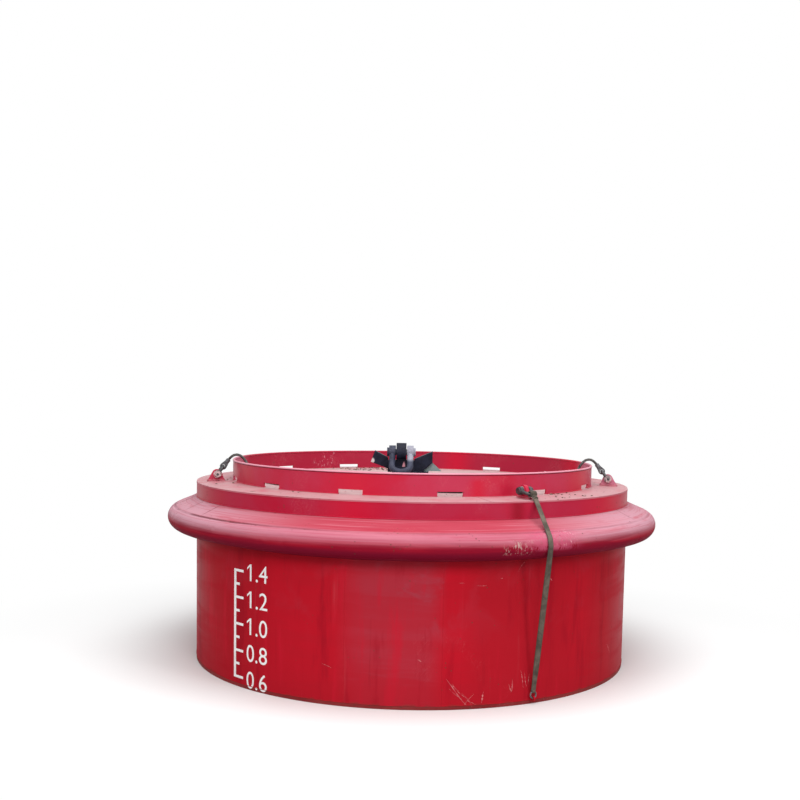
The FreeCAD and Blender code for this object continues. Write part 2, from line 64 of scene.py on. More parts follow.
# %% Sizes read from the frame
hull_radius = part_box("hull_drum")[1].x
deck_thickness = coaming_thickness = 0.012
deck_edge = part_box("deck_plate")[0].z + deck_thickness
camber = math.radians(2.0)
coaming_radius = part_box("coaming_wall")[1].x
rim_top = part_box("coaming_rim")[1].z
fender_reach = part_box("fender_front")[1].x
fender_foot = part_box("fender_front")[0].z
band_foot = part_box("sheer_band")[0].z


def polar(azimuth, radius, height=0.0):
    angle = math.radians(azimuth)
    return Vector((radius * math.sin(angle), -radius * math.cos(angle), height))


def deck_height(radius):
    return deck_edge + (hull_radius - radius) * math.tan(camber)


print(f"hull {2 * hull_radius:.3f} m across, deck edge at {deck_edge:.3f} m, rim at {rim_top:.3f} m")

# %% [markdown]
# ## The camera
# It stands nine metres off, a little above the deck, and looks almost level, so
# the deck shows only as thin bright strips. The frame is shifted up, which puts
# the buoy in the lower half of the picture. Tilting the camera up would do that
# too, but then upright edges would lean.

# %% Camera
def show(name, data):
    """An object in the scene, at the origin."""
    thing = bpy.data.objects.new(name, data)
    bpy.context.scene.collection.objects.link(thing)
    return thing


def spin_by(degrees, axis):
    return Matrix.Rotation(math.radians(degrees), 4, axis)


camera = show("camera", bpy.data.cameras.new("camera"))
camera.data.sensor_width = 36.0
camera.data.lens = 48.42
camera.data.shift_y = 0.1125
camera.data.clip_end = 500.0
camera_distance, camera_over_deck = 9.14, 0.729
yaw, pitch, roll = 0.62, 5.05, 1.03
camera.location = (0.0, -camera_distance, deck_edge + camera_over_deck)
camera.rotation_euler = (spin_by(yaw, "Z") @ spin_by(90 - pitch, "X") @ spin_by(roll, "Z")).to_euler()
bpy.context.scene.camera = camera
print("camera at", [round(value, 3) for value in camera.location], "lens", camera.data.lens)

# %% [markdown]
# ## Helpers for meshes
# Most pieces are made from lists of points. They could be modelled by hand, but
# points that are worked out follow the frame's sizes. One helper turns points and
# faces into an object at the origin, and one gives it its finish and body.
# A line is a piece with edges only, which a node tree turns into something solid.

# %% Mesh helpers
def mesh_piece(name, points, faces=(), edges=()):
    mesh = bpy.data.meshes.new(name)
    mesh.from_pydata([tuple(point) for point in points], list(edges), list(faces))
    mesh.update()
    mesh.polygons.foreach_set("use_smooth", [True] * len(mesh.polygons))
    return show(name, mesh)


def line_piece(name, lines):
    """Lines as edges; a line is a list of points, closed where its last is its first."""
    points, edges = [], []
    for line in lines:
        closed = (Vector(line[0]) - Vector(line[-1])).length < 1e-6
        kept = line[:-1] if closed else line
        first = len(points)
        points += kept
        edges += [(first + k, first + k + 1) for k in range(len(kept) - 1)]
        if closed:
            edges.append((first + len(kept) - 1, first))
    return mesh_piece(name, points, edges=edges)


def arc_line(start, end, radius, height):
    """Points on a level arc between two azimuths, about a degree apart."""
    cuts = max(1, round(abs(end - start)))
    return [polar(start + (end - start) * k / cuts, radius, height) for k in range(cuts + 1)]


print("a quarter of an arc has", len(arc_line(0, 90, 1.0, 0.0)), "points")


# %% Finishing a mesh
def tidy_normals(piece):
    """Merges doubles and points every face outwards."""
    work = bmesh.new()
    work.from_mesh(piece.data)
    bmesh.ops.remove_doubles(work, verts=work.verts, dist=1e-6)
    bmesh.ops.recalc_face_normals(work, faces=work.faces)
    work.to_mesh(piece.data)
    work.free()


# %% Body and material of a piece
def settle(piece, body="hull"):
    """Gives a finished piece its body."""
    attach(piece, body)
    print(piece.name, len(piece.data.polygons), "faces on", body)
    return piece


def keep(piece, material, body="hull"):
    """Gives a finished piece its material too."""
    piece.data.materials.clear()
    piece.data.materials.append(material)
    return settle(piece, body)


# %% [markdown]
# ## Node trees written as formulas
# Shader trees and Geometry Nodes trees could be drawn by hand in the node editor.
# Here code builds them, so that a tree reads like the formula it stands for. A
# wire is one output of a node, and adding or multiplying wires adds the node that
# does that sum. Sums on positions and normals are vector sums, the others plain.

# %% A wire and its sums
class Wire:
    """An output of a node."""

    def __init__(self, socket):
        self.socket = socket
        self.tree = socket.id_data

    def other(self, name):
        """Another output of the same node."""
        return Wire(self.socket.node.outputs[name])

    def __add__(self, value):
        return maths("ADD", self, value)

    def __mul__(self, value):
        return maths("MULTIPLY", self, value)

    def __sub__(self, value):
        return maths("SUBTRACT", self, value)

    def __rsub__(self, value):
        return maths("SUBTRACT", value, self)

    def __truediv__(self, value):
        return maths("DIVIDE", self, value)

    def __rtruediv__(self, value):
        return maths("DIVIDE", value, self)

    def __abs__(self):
        return maths("ABSOLUTE", self)


# %% Adding nodes
def tree_of(values):
    return next(value.tree for value in values if isinstance(value, Wire))


def put(tree, kind, inputs=None, output=0, **settings):
    """Adds a node, links or fills its inputs, and gives back one of its outputs."""
    node = tree.nodes.new(kind)
    for name, value in settings.items():
        setattr(node, name, value)
    for name, value in (inputs or {}).items():
        socket = node.inputs[name]
        for wire in value if isinstance(value, list) else [value]:
            if isinstance(wire, Wire):
                tree.links.new(wire.socket, socket)
            elif wire is not None:
                socket.default_value = (*wire, 1.0) if socket.type == "RGBA" else wire
    return Wire(node.outputs[output]) if node.outputs else None


def maths(operation, *values, clamp=False):
    """A sum on numbers, or on vectors where one of the values is a vector."""
    tree = tree_of(values)
    if not any(isinstance(v, tuple) or isinstance(v, Wire) and v.socket.type == "VECTOR" for v in values):
        return put(tree, "ShaderNodeMath", dict(enumerate(values)), operation=operation, use_clamp=clamp)
    vectors = [value if isinstance(value, (tuple, Wire)) else (value,) * 3 for value in values]
    answer = "Value" if operation in ("LENGTH", "DISTANCE", "DOT_PRODUCT") else "Vector"
    return put(tree, "ShaderNodeVectorMath", dict(enumerate(vectors)), answer, operation=operation)


# %% Nodes with short names
level = (1.0, 1.0, 0.0)


def xyz(x=0.0, y=0.0, z=0.0):
    return put(tree_of((x, y, z)), "ShaderNodeCombineXYZ", {0: x, 1: y, 2: z})


def parts_of(vector):
    x = put(vector.tree, "ShaderNodeSeparateXYZ", {0: vector})
    return x, x.other(1), x.other(2)


def noise(vector, scale, detail=3.0, rough=0.55, distortion=0.0):
    return put(vector.tree, "ShaderNodeTexNoise", {
        "Vector": vector, "Scale": scale, "Detail": detail, "Roughness": rough, "Distortion": distortion})


def turned(vector, rotation, scale=(1.0, 1.0, 1.0)):
    return put(vector.tree, "ShaderNodeMapping", {"Vector": vector, "Rotation": rotation, "Scale": scale})


def band(value, low, high):
    """0 below low, 1 above high, smooth between them; low may be the larger one."""
    return put(value.tree, "ShaderNodeMapRange", {"Value": value, "From Min": low, "From Max": high},
               interpolation_type="SMOOTHSTEP")


def mix_value(factor, low, high):
    return put(factor.tree, "ShaderNodeMapRange", {"Value": factor, "To Min": low, "To Max": high})


def blend_colour(factor, first, second):
    return put(factor.tree, "ShaderNodeMix", {0: factor, 6: first, 7: second}, 2, data_type="RGBA")


def layers(colour, *coats):
    """Lays coat over coat on a colour: a coat is a mask, its colour and how much of it shows."""
    for mask, worn, amount in coats:
        colour = blend_colour(mix_value(mask, 0.0, amount), colour, worn)
    return colour


def reach_of(spot):
    """Distance from the buoy's axis."""
    return maths("LENGTH", spot * level)


print("level part of", (3.0, 4.0, 5.0), "is", tuple(a * b for a, b in zip((3.0, 4.0, 5.0), level)))

# %% [markdown]
# ## Node groups made from functions
# A formula that is used more than once becomes a node group, so that it is built
# once and can be opened and changed in one place. The function below makes one:
# the formula's values turn into the group's named inputs, and what the formula
# gives back goes to the group's output.

# %% Group helper
def label(name):
    return name.replace("_", " ").capitalize()


def node_group(formula, kind, inputs, output, output_type):
    """A node group that does what a formula says; an input is a number or a type of socket."""
    tree = bpy.data.node_groups.new(formula.__name__, kind)
    for name, value in inputs.items():
        number_type = "NodeSocketInt" if isinstance(value, int) else "NodeSocketFloat"
        socket_type = value if isinstance(value, str) else number_type
        socket = tree.interface.new_socket(label(name), in_out="INPUT", socket_type=socket_type)
        if socket_type != value:
            socket.default_value = value
    tree.interface.new_socket(output, in_out="OUTPUT", socket_type=output_type)
    given = tree.nodes.new("NodeGroupInput").outputs
    result = formula(**{name: Wire(given[label(name)]) for name in inputs})
    tree.links.new(result.socket, tree.nodes.new("NodeGroupOutput").inputs[0])
    print("group", tree.name, "of", len(tree.nodes), "nodes")
    return tree


# %% [markdown]
# ## Shader groups
# Weathered paint is the same few effects over and over: faded patches, runs of
# dirt down a wall, specks, fine scratches, rubs, dust on what faces up. They
# could be painted on an image, but a formula of the place stays sharp at any size
# and has no seams. Each effect is one node group, and every material places the
# groups with its own values. The Principled shader stays in each material.

# %% Effect helper
def effect(output="Mask", **numbers):
    """Makes a shader group of the formula under it; calling that then places the group."""
    def build(formula):
        inputs = {"vector": "NodeSocketVector", **numbers}
        group = node_group(formula, "ShaderNodeTree", inputs, output, "NodeSocketFloat")

        def place(vector, **values):
            wanted = {label(name): value for name, value in values.items()}
            return put(vector.tree, "ShaderNodeGroup", {"Vector": vector, **wanted}, node_tree=group)
        return place
    return build


# %% Faded patches and cloudy colour
@effect(size=0.4, cover=0.5, edge=0.12)
def patches(vector, size, cover, edge):
    limit = 1.0 - cover
    return band(noise(vector, 1.0 / size, 6.0, 0.6, 0.4), limit - edge, limit + edge)


# %% Runs of dirt down a wall
@effect(width=0.03, cover=0.35)
def runs(vector, width, cover):
    narrow = noise(vector * (1.0, 1.0, 0.045) / width, 0.6, 4.0, 0.6)
    limit = 1.0 - cover
    return band(narrow, limit, limit + 0.16) * band(noise(vector, 2.3, 3.0, 0.6), 0.38, 0.62)


# %% Specks of dirt, gathered in places
@effect(size=0.012, cover=0.3)
def specks(vector, size, cover):
    cell = put(vector.tree, "ShaderNodeTexVoronoi", {"Vector": vector, "Scale": 1.0 / size}, "Distance")
    draw = put(vector.tree, "ShaderNodeSeparateColor", {0: cell.other("Color")})
    dot = band(cell, 0.34, 0.16) * band(draw, 1.0 - cover, 1.0)
    return dot * band(noise(vector, 3.1, 4.0, 0.62), 0.42, 0.6)


# %% Fine scratches that lie two ways
@effect(length=0.3, cover=0.2, seed=0.0)
def scratches(vector, length, cover, seed):
    lines = []
    for turn in ((0.3, 0.9, 0.2), (1.1, -0.4, 1.9)):
        stretched = turned(vector, turn) * (1.0, 26.0, 26.0) + xyz(seed)
        line = noise(stretched, 0.9 / length, 2.0, 0.5)
        lines.append(band(abs(line - 0.5), 0.011, 0.002))
    limit = 1.0 - cover
    return maths("MAXIMUM", *lines) * band(noise(vector, 1.7, 3.0, 0.6), limit, limit + 0.1)


# %% Fine relief of paint and cast metal
@effect("Height", size=0.01, waviness=0.3)
def relief(vector, size, waviness):
    return noise(vector, 1.0 / size, 3.0, 0.6) * 0.3 + noise(vector, 2.6, 2.0, 0.5) * waviness


# %% What faces up, where dust settles, and turned round, what faces down, where the fender gets painted shade; its vector is the normal
@effect(low=0.2, high=0.9)
def upward(vector, low, high):
    return band(parts_of(vector)[2], low, high)


# %% What faces away from the middle of the buoy, and a little up
@effect(normal="NodeSocketVector", rise=0.0, low=0.2, high=0.7)
def outside(vector, normal, rise, low, high):
    ray = maths("NORMALIZE", vector * level) + xyz(z=rise)
    return band(maths("DOT_PRODUCT", ray, normal), low, high)


# %% Azimuth round the hull, in whole turns, 0.5 at -Y
@effect("Turns")
def turns_of(vector):
    x, y, _ = parts_of(vector)
    return maths("ARCTAN2", x, y * -1.0) / math.tau + 0.5


# %% Scuffs: short pale rubs inside one stretch of the hull's side
@effect(azimuth=25.0, spread=10.0, low=1.1, high=1.2, cover=0.4, edge=0.55)
def scuffs(vector, azimuth, spread, low, high, cover, edge):
    beside = band(abs((turns_of(vector) - 0.5) * 360.0 - azimuth) / spread, 1.0, edge)
    off_middle = abs(parts_of(vector)[2] - (low + high) * 0.5)
    within = band(off_middle / ((high - low) * 0.5), 1.0, 0.6)
    hatch = noise(turned(vector, (0.0, 0.6, 0.0), (1.0, 1.0, 0.28)), 95.0, 4.0, 0.7, 0.3)
    amount = hatch * 0.6 + noise(vector, 16.0, 3.0, 0.6) * 0.4
    limit = 1.0 - cover
    return band(amount, limit, limit + 0.07) * beside * within


# %% Woven ribs on a strap's own UV map
@effect("Height", across=16.0, along=4.0)
def weave(vector, across, along):
    u, v, _ = parts_of(vector)
    warp = maths("SINE", u * (across * math.tau))
    weft = maths("SINE", v * (along * math.tau))
    return (warp + weft) * 0.2 + 0.5


# %% [markdown]
# ## Materials
# A finish starts as one Principled shader with the roughness and metal of the
# real surface. Colours are mixed from a base, a faded tone and a dirt tone by
# the masks of the groups above. The colours are linear. Old marine paint is only
# half glossy, so its specular level stays low: under a white sky a higher one
# would wash the red out.

# %% Finish helpers
def finish(name, roughness, specular=0.5, metallic=0.0):
    """A material with a Principled shader, and the place on the piece as a wire."""
    material = bpy.data.materials.new(name)
    material.use_nodes = True
    tree = material.node_tree
    tree.nodes.clear()
    shader = put(tree, "ShaderNodeBsdfPrincipled", {
        "Metallic": metallic, "Roughness": roughness, "Specular IOR Level": specular})
    put(tree, "ShaderNodeOutputMaterial", {"Surface": shader})
    return material, put(tree, "ShaderNodeTexCoord", output="Object")


def node_in(material, kind):
    return next(node for node in material.node_tree.nodes if node.type == kind)


# %% Linking colour and relief to the shader
def use(material, colour, height=None, depth=0.001, strength=0.5, **levels):
    """Links the colour, the relief, and a roughness or metallic that varies, to the shader."""
    shader = node_in(material, "BSDF_PRINCIPLED")
    wires = {"Base Color": colour, **{label(name): wire for name, wire in levels.items()}}
    if height:
        wires["Normal"] = put(colour.tree, "ShaderNodeBump", {
            "Height": height, "Distance": depth, "Strength": strength})
    for name, wire in wires.items():
        colour.tree.links.new(wire.socket, shader.inputs[name])
    print("finish", material.name, "of", len(colour.tree.nodes), "nodes")
    return material


def two_tone(name, roughness, size, first, second, edge=0.1):
    """A plain finish of two tones in patches."""
    material, spot = finish(name, roughness, 0.2)
    return use(material, blend_colour(patches(spot, size=size, cover=0.5, edge=edge), first, second))


# %% Colours that the finishes share
dirt, dust, chalk = (0.07, 0.048, 0.034), (0.46, 0.29, 0.3), (0.6, 0.2, 0.22)
# The first colour below is the dark red of dirt runs; the hull also uses it for the fender's painted shadow.
dark_run_and_shade, seam_line_dark, rust = (0.15, 0.008, 0.014), (0.1, 0.012, 0.018), (0.16, 0.06, 0.03)
bright_scratch = (0.5, 0.5, 0.52)
print("dirt", dirt, "dust", dust, "chalked paint", chalk)

# %% [markdown]
# ## Paint of the hull's side
# The side was rolled plate by plate, and a colour ramp round the azimuth gives
# each plate its own tone: a deep red, a vivid one and a greyish rose. The tones
# are partly the paint's own and partly painted reflection: the greyish rose
# stands for grey sky mirrored by a flatter plate, and the vivid red beside it for
# two bright reflection bands. One noise all over could vary the red, but no plate
# would stand out. The ramp's edges are frayed a little. Over it lie smears,
# upright strips, blots and runs. Dirt sits at the foot, and a painted shadow of
# the fender darkens the side just under it.

# %% Plates in a colour ramp
# Part of these tones is painted reflection: the rose plate stands for grey sky mirrored by a flatter plate,
# and the vivid stops beside it for two bright reflection bands.
plate_tones = {"deep": (0.43, 0.010, 0.020), "vivid": (0.5, 0.009, 0.021), "rose": (0.42, 0.029, 0.047)}
hull_plates = {-180: "deep", -130: "rose", -118: "deep", -78: "rose", -56: "deep", -40: "deep", -33: "vivid",
               -17: "vivid", -10: "rose", 4: "rose", 8.2: "vivid", 11: "vivid", 17: "deep", 36: "deep",
               44: "vivid", 56: "deep", 72: "rose", 100: "deep", 150: "vivid", 165: "deep"}
side_roughness = 0.42
hull_paint, spot = finish("hull_paint", side_roughness, 0.015)
height, turns = parts_of(spot)[2], turns_of(spot)
plates = put(spot.tree, "ShaderNodeValToRGB", {0: turns + (noise(spot, 3.0, 4.0, 0.6) - 0.5) * 0.006})
stops = plates.socket.node.color_ramp.elements
stops.remove(stops[1])
for index, (azimuth, tone) in enumerate(hull_plates.items()):
    at = azimuth / 360 + 0.5
    stop = stops[0] if index == 0 else stops.new(at)
    stop.position = at
    stop.color = (*plate_tones[tone], 1.0)
print(len(stops), "stops in the hull's ramp")

# %% Smears, strips and blots over the plates
even_red, greyed = (0.44, 0.011, 0.022), (0.36, 0.05, 0.075)
deep_strip, bright_strip = (0.3, 0.006, 0.016), (0.56, 0.012, 0.03)
smear = band(noise(xyz(turns * 7.0, z=height * 5.0), 1.6, 5.0, 0.62, 0.3), 0.42, 0.62)
low_down = band(height + smear * 0.25, 0.5, 0.15)
colour = blend_colour(maths("MAXIMUM", smear * 0.4, low_down * 0.7), plates, even_red)
strip = noise(xyz(turns * 60.0, z=height * 0.7), 1.0, 5.0, 0.65)
blot = band(noise(spot, 3.2, 5.0, 0.6, 0.4), 0.5, 0.68)
# Blots are kept to the rose plate.
on_rose_plate = mix_value(band(abs(turns - 0.492), 0.045, 0.02), 0.2, 1.0)
colour = layers(colour, (band(strip, 0.52, 0.66), deep_strip, 0.55),
                (band(strip, 0.46, 0.34), bright_strip, 0.55),
                (blot * band(height, 0.35, 0.75) * on_rose_plate, greyed, 0.75))
print(len(spot.tree.nodes), "nodes in the hull's paint so far")

# %% Runs, scratches, dirt and the fender's painted shadow on the hull's side
speck = specks(spot, size=0.02, cover=0.1)
foot = band(height + noise(spot, 8.0, 6.0, 0.68) * 0.09, 0.085, 0.045)
# The last coat is painted shade: the fender's shadow darkens the side just under it.
colour = layers(colour, (runs(spot, width=0.03, cover=0.4), dark_run_and_shade, 0.4),
                (runs(spot * (1.3, 1.3, 0.8), width=0.045, cover=0.4), chalk, 0.13),
                (scratches(spot, length=0.4, cover=0.38, seed=3.0), chalk, 0.2),
                (speck, dirt, 0.7), (foot, dirt, 0.8),
                (band(height, fender_foot - 0.07, fender_foot), dark_run_and_shade, 0.35))
rough = mix_value(smear, side_roughness - 0.05, side_roughness + 0.08)
rough = rough + mix_value(maths("MAXIMUM", speck, foot), 0.0, 0.35)
use(hull_paint, colour, relief(spot, size=0.006, waviness=0.4), 0.002, 0.3, roughness=rough)

# %% [markdown]
# ## Paint of the other red pieces
# Band, coaming, deck, fender and bottom had the same paint, but light, boots and
# boats wore each in its own way. Five materials could be written out one by one.
# One recipe with their own values keeps them related. What faces up collects
# dust, and the group that finds it reads the normal. The deck's pale pink and the
# fender's pink top are partly a painted sheen of the sky.

# %% One recipe for the other paints
def marine_paint(name, base, faded, roughness, specular=0.12, spots=0.25, streaks=0.0, tones=None, dusty=0.0,
                 waviness=0.3, rubs=(), inner=None, seams=None):
    """Faded in patches, with runs, specks and scratches, dusty on top, and with the tones given, which can
    hold painted light.
    """
    material, spot = finish(name, roughness, specular)
    normal = spot.other("Normal")
    cloud = patches(spot, size=0.5, cover=0.5, edge=0.2)
    colour = blend_colour(cloud, base, faded)
    if inner:
        # Faces that turn towards the middle of the buoy get the inner colour, a darker red that is painted
        # shade inside the well.
        colour = blend_colour(outside(spot, normal=normal, rise=0.5, low=-0.3, high=0.1), inner, colour)
    if tones:
        colour = tones(spot, normal, colour)
    coats = []
    if streaks:
        coats.append((runs(spot, width=0.035, cover=streaks), dark_run_and_shade, 0.35))
    if dusty:
        settled = upward(normal, low=0.7, high=0.98) * patches(spot, size=0.16, cover=0.62, edge=0.18)
        coats.append((settled, dust, dusty))
    coats.append((scratches(spot, length=0.3, cover=0.46, seed=3.0), chalk, 0.35))
    coats += [(scuffs(spot, **where), worn, 0.8) for worn, where in rubs]
    if seams:
        # Seams, joints and creases get dark lines.
        coats.append((seams(spot), seam_line_dark, 0.85))
    speck = specks(spot, size=0.022, cover=spots)
    colour = layers(colour, *coats, (speck, dirt, 0.8))
    rough = mix_value(cloud, roughness - 0.05, roughness + 0.08) + mix_value(speck, 0.0, 0.3)
    return use(material, colour, relief(spot, size=0.006, waviness=waviness), 0.002, 0.35, roughness=rough)


# %% [markdown]
# ### Rubs on band, coaming and fender
# Hawsers, boats and weather leave their marks in places, not all over. Thin
# meshes laid on the paint could show them, but a mask needs no mesh and fades out
# softly. A rub is one coat of colour inside a stretch of azimuth and height: a
# fresher red, a dark run, a greyish pink, or pale hatching. They are listed by
# coat, azimuth, spread, and height over the piece's foot.

# %% Rubs: colour, cover and softness of each coat
rub_coats = {"fresh": ((0.52, 0.006, 0.03), 1.0, 0.0), "dark": ((0.26, 0.004, 0.016), 1.0, 0.0),
             "faded": ((0.5, 0.2, 0.28), 1.0, 0.2), "hatched": ((0.66, 0.32, 0.38), 0.44, 0.55),
             "gritty": ((0.56, 0.4, 0.36), 0.49, 0.55), "pink": ((0.52, 0.085, 0.16), 0.58, 0.1),
             "chalky": ((0.7, 0.42, 0.47), 0.46, 0.55), "pale": ((0.7, 0.4, 0.44), 0.45, 0.55)}


def rubs_over(foot, rows):
    """Rubs as the paint recipe takes them, from (coat, azimuth, spread, low, high)."""
    rubs = []
    for coat, azimuth, spread, low, high in rows:
        worn, cover, edge = rub_coats[coat]
        rubs.append((worn, {"azimuth": azimuth, "spread": spread, "low": foot + low, "high": foot + high,
                            "cover": cover, "edge": edge}))
    return rubs


print(len(rub_coats), "kinds of rub")

# %% Where the rubs lie
band_height, over_rim = deck_edge - band_foot, rim_top - deck_edge + 0.15
band_rubs = rubs_over(band_foot, (
    ("fresh", -13.0, 11.0, -0.05, band_height + 0.05), ("fresh", 55.0, 18.0, -0.05, band_height + 0.05),
    ("dark", 24.5, 3.0, -0.04, band_height + 0.03)))
coaming_rubs = rubs_over(deck_edge, (
    ("fresh", -17.0, 13.0, -0.05, over_rim), ("fresh", 18.5, 4.0, -0.06, 0.15),
    ("fresh", 60.0, 14.0, -0.05, over_rim), ("fresh", 163.0, 9.0, -0.05, over_rim),
    ("fresh", 106.0, 12.0, -0.05, over_rim), ("faded", -89.0, 17.0, -0.06, 0.22),
    ("faded", 89.0, 17.0, -0.06, 0.22), ("hatched", -80.0, 14.0, -0.02, 0.3),
    ("hatched", 80.0, 16.0, -0.02, 0.3), ("hatched", 40.0, 5.0, -0.02, 0.05),
    ("hatched", -146.0, 7.0, -0.02, 0.25)))
fender_rubs = rubs_over(fender_foot, (
    ("gritty", 21.5, 3.8, 0.06, 0.18), ("pink", 29.0, 9.0, 0.08, 0.235), ("chalky", -74.0, 11.0, 0.13, 0.27),
    ("pale", 31.5, 4.5, 0.11, 0.23)))
print("rubs on band, coaming and fender:", len(band_rubs), len(coaming_rubs), len(fender_rubs))

# %% [markdown]
# ### Tones of the fender and of the well
# The fender is deep red, with painted shade on what faces down. What faces up
# is pink, partly paint that the sun has bleached and partly a painted highlight
# of the sky: most on the nose's top, less on the slope, and palest at the sides,
# where it is a painted grazing reflection. Dark lines lie in the seam above the
# nose, in the joints of its two half rings and in a few creases. In the well,
# inside the coaming, pale silt has dried on the deck. None of this can be told
# from the normal alone, so these masks read the distance from the buoy's axis as
# well.

# %% Places on the fender
nose_seam = (fender_reach - 0.0617, band_foot - 0.0767)
joint_azimuth = 102.0


def beside_ring(spot, radius, height):
    """Distance from a level circle round the buoy's axis."""
    return maths("DISTANCE", xyz(reach_of(spot), z=parts_of(spot)[2]), (radius, 0.0, height))


print("seam above the nose at radius", round(nose_seam[0], 4), "and height", round(nose_seam[1], 4))


# %% Fender tones, with painted shade below and a painted sky highlight on top
def fender_tones(spot, normal, colour):
    deep_smear, underside_shade = (0.23, 0.007, 0.024), (0.2, 0.006, 0.024)
    slope_pink, nose_pink, pale_pink = (0.41, 0.052, 0.08), (0.48, 0.14, 0.195), (0.53, 0.3, 0.36)
    rubbed, dark_line, pale_line = (0.4, 0.03, 0.055), (0.4, 0.04, 0.07), (0.56, 0.2, 0.25)
    turns = turns_of(spot)
    round_hull = xyz(turns * 9.0, z=parts_of(spot)[2] * 16.0)
    smear = noise(round_hull, 1.7, 5.0, 0.62, 0.2)
    fine_lines = noise(round_hull * (1.0, 1.0, 7.0), 1.3, 3.0, 0.6)
    colour = layers(colour, (band(smear, 0.56, 0.44), deep_smear, 0.7))
    # Painted shade: what faces down turns a darker red.
    colour = blend_colour(upward(normal, low=-0.62, high=-0.08), underside_shade, colour)
    nose = band(reach_of(spot), nose_seam[0] - 0.03, nose_seam[0] + 0.01)
    # Painted highlight: what faces up turns pink, most on the nose's top and palest at the sides, partly
    # bleached paint and partly the sky's reflection painted in.
    bleached_and_lit = layers(blend_colour(nose, slope_pink, nose_pink),
                    (band(abs(turns - 0.5), 0.04, 0.17), pale_pink, 0.85),
                    (band(smear, 0.5, 0.68), rubbed, 0.5),
                    (band(fine_lines, 0.52, 0.62), dark_line, 0.32),
                    (band(fine_lines, 0.46, 0.36), pale_line, 0.4))
    facing = parts_of(normal)[2] + mix_value(smear, -0.35, 0.35)
    return blend_colour(band(facing, -0.2, 0.6), colour, bleached_and_lit)


# %% Seams and creases of the fender
def fender_seams(spot):
    turns, reach = turns_of(spot), reach_of(spot)
    worn = mix_value(band(noise(spot, 1.3, 4.0, 0.65), 0.36, 0.6), 0.2, 1.0)
    left = mix_value(band(abs(turns - 0.33), 0.16, 0.05), 0.3, 0.9)
    line = band(beside_ring(spot, *nose_seam), 0.014, 0.007) * worn * left
    for azimuth in (joint_azimuth - 180, joint_azimuth):
        joint = band(abs(turns - (azimuth / 360 + 0.5)), 0.0009, 0.0004)
        line = maths("MAXIMUM", line, joint)
    ragged = turns + noise(spot, 9.0, 3.0, 0.6) * 0.004
    slope = band(reach, nose_seam[0], nose_seam[0] - 0.05)
    for azimuth, share in ((-53.0, 0.6), (-64.0, 0.5), (61.0, 0.4)):
        crease = band(abs(ragged - (azimuth / 360 + 0.502)), 0.0009, 0.0004) * share
        line = maths("MAXIMUM", line, crease * slope)
    return line


# %% Silt in the well
def well_tones(spot, normal, colour):
    inside = band(reach_of(spot), coaming_radius, coaming_radius - 0.02)
    silt = inside * upward(normal, low=0.7, high=0.98) * patches(spot, size=0.11, cover=0.6, edge=0.12)
    pale_silt = (0.62, 0.48, 0.46)
    return layers(colour, (silt, pale_silt, 0.75))


# %% The other paints
band_paint = marine_paint("band_paint", (0.42, 0.009, 0.034), (0.4, 0.022, 0.056), 0.36, 0.06, spots=0.1,
                          streaks=0.3, rubs=band_rubs)
coaming_paint = marine_paint("coaming_paint", (0.48, 0.013, 0.04), (0.46, 0.035, 0.078), 0.36, spots=0.15,
                             streaks=0.28, inner=(0.36, 0.015, 0.042), rubs=coaming_rubs)
# The deck's pale pink is partly dusty, worn paint and partly a painted sheen: the glare of the sky that the
# deck shows at the camera's grazing view.
deck_paint = marine_paint("deck_paint", (0.42, 0.085, 0.12), (0.46, 0.15, 0.18), 0.5, spots=0.5, dusty=0.7,
                          tones=well_tones)
fender_paint = marine_paint("fender_paint", (0.33, 0.006, 0.02), (0.36, 0.012, 0.03), 0.55, 0.015, spots=0.16,
                            waviness=0.5, tones=fender_tones, seams=fender_seams, rubs=fender_rubs)
bottom_paint = marine_paint("bottom_paint", (0.2, 0.016, 0.018), (0.26, 0.035, 0.034), 0.6, spots=0.5)

# %% [markdown]
# ## Metals, webbing and white marking paint
# Forged and galvanised pieces share a second recipe: mottled metal with rust in
# patches and rubbed scratches. A fully metallic shader would mirror the white
# studio, and the dark pieces are mostly paint, so those are not metallic at all.
# The webbing's ribs follow the strap's own UV map, so they run along it.

# %% One recipe for the metals
def metal(name, base, worn, roughness, metallic, rusted, size=0.004, mottle=0.05, specular=0.5, rubbed=0.4):
    material, spot = finish(name, roughness, specular, metallic)
    cloud = patches(spot, size=mottle, cover=0.5, edge=0.2)
    rusty = patches(spot, size=0.028, cover=rusted, edge=0.05)
    colour = layers(blend_colour(cloud, base, worn),
                    (scratches(spot, length=0.05, cover=0.55, seed=1.0), bright_scratch, rubbed),
                    (rusty, rust, 0.8))
    varied = {"roughness": mix_value(cloud, roughness - 0.08, roughness + 0.08) + mix_value(rusty, 0.0, 0.3)}
    if metallic:
        varied["metallic"] = mix_value(rusty, 1.0, 0.2) * metallic
    return use(material, colour, relief(spot, size=size, waviness=0.1), **varied)


# %% Painted and forged steel
dark_steel = metal("dark_steel", (0.004, 0.005, 0.012), (0.013, 0.015, 0.03), roughness=0.5, metallic=0.0,
                   rusted=0.06, specular=0.12, rubbed=0.12)
worn_steel = metal("worn_steel", (0.012, 0.014, 0.03), (0.04, 0.045, 0.075), roughness=0.5, metallic=0.0,
                   rusted=0.1, mottle=0.09, specular=0.2, rubbed=0.2)
shackle_steel = metal("shackle_steel", (0.03, 0.03, 0.035), (0.08, 0.075, 0.075), roughness=0.5,
                      metallic=0.5, rusted=0.24)
primer = metal("green_primer", (0.12, 0.18, 0.18), (0.18, 0.25, 0.24), roughness=0.55, metallic=0.0,
               rusted=0.08)

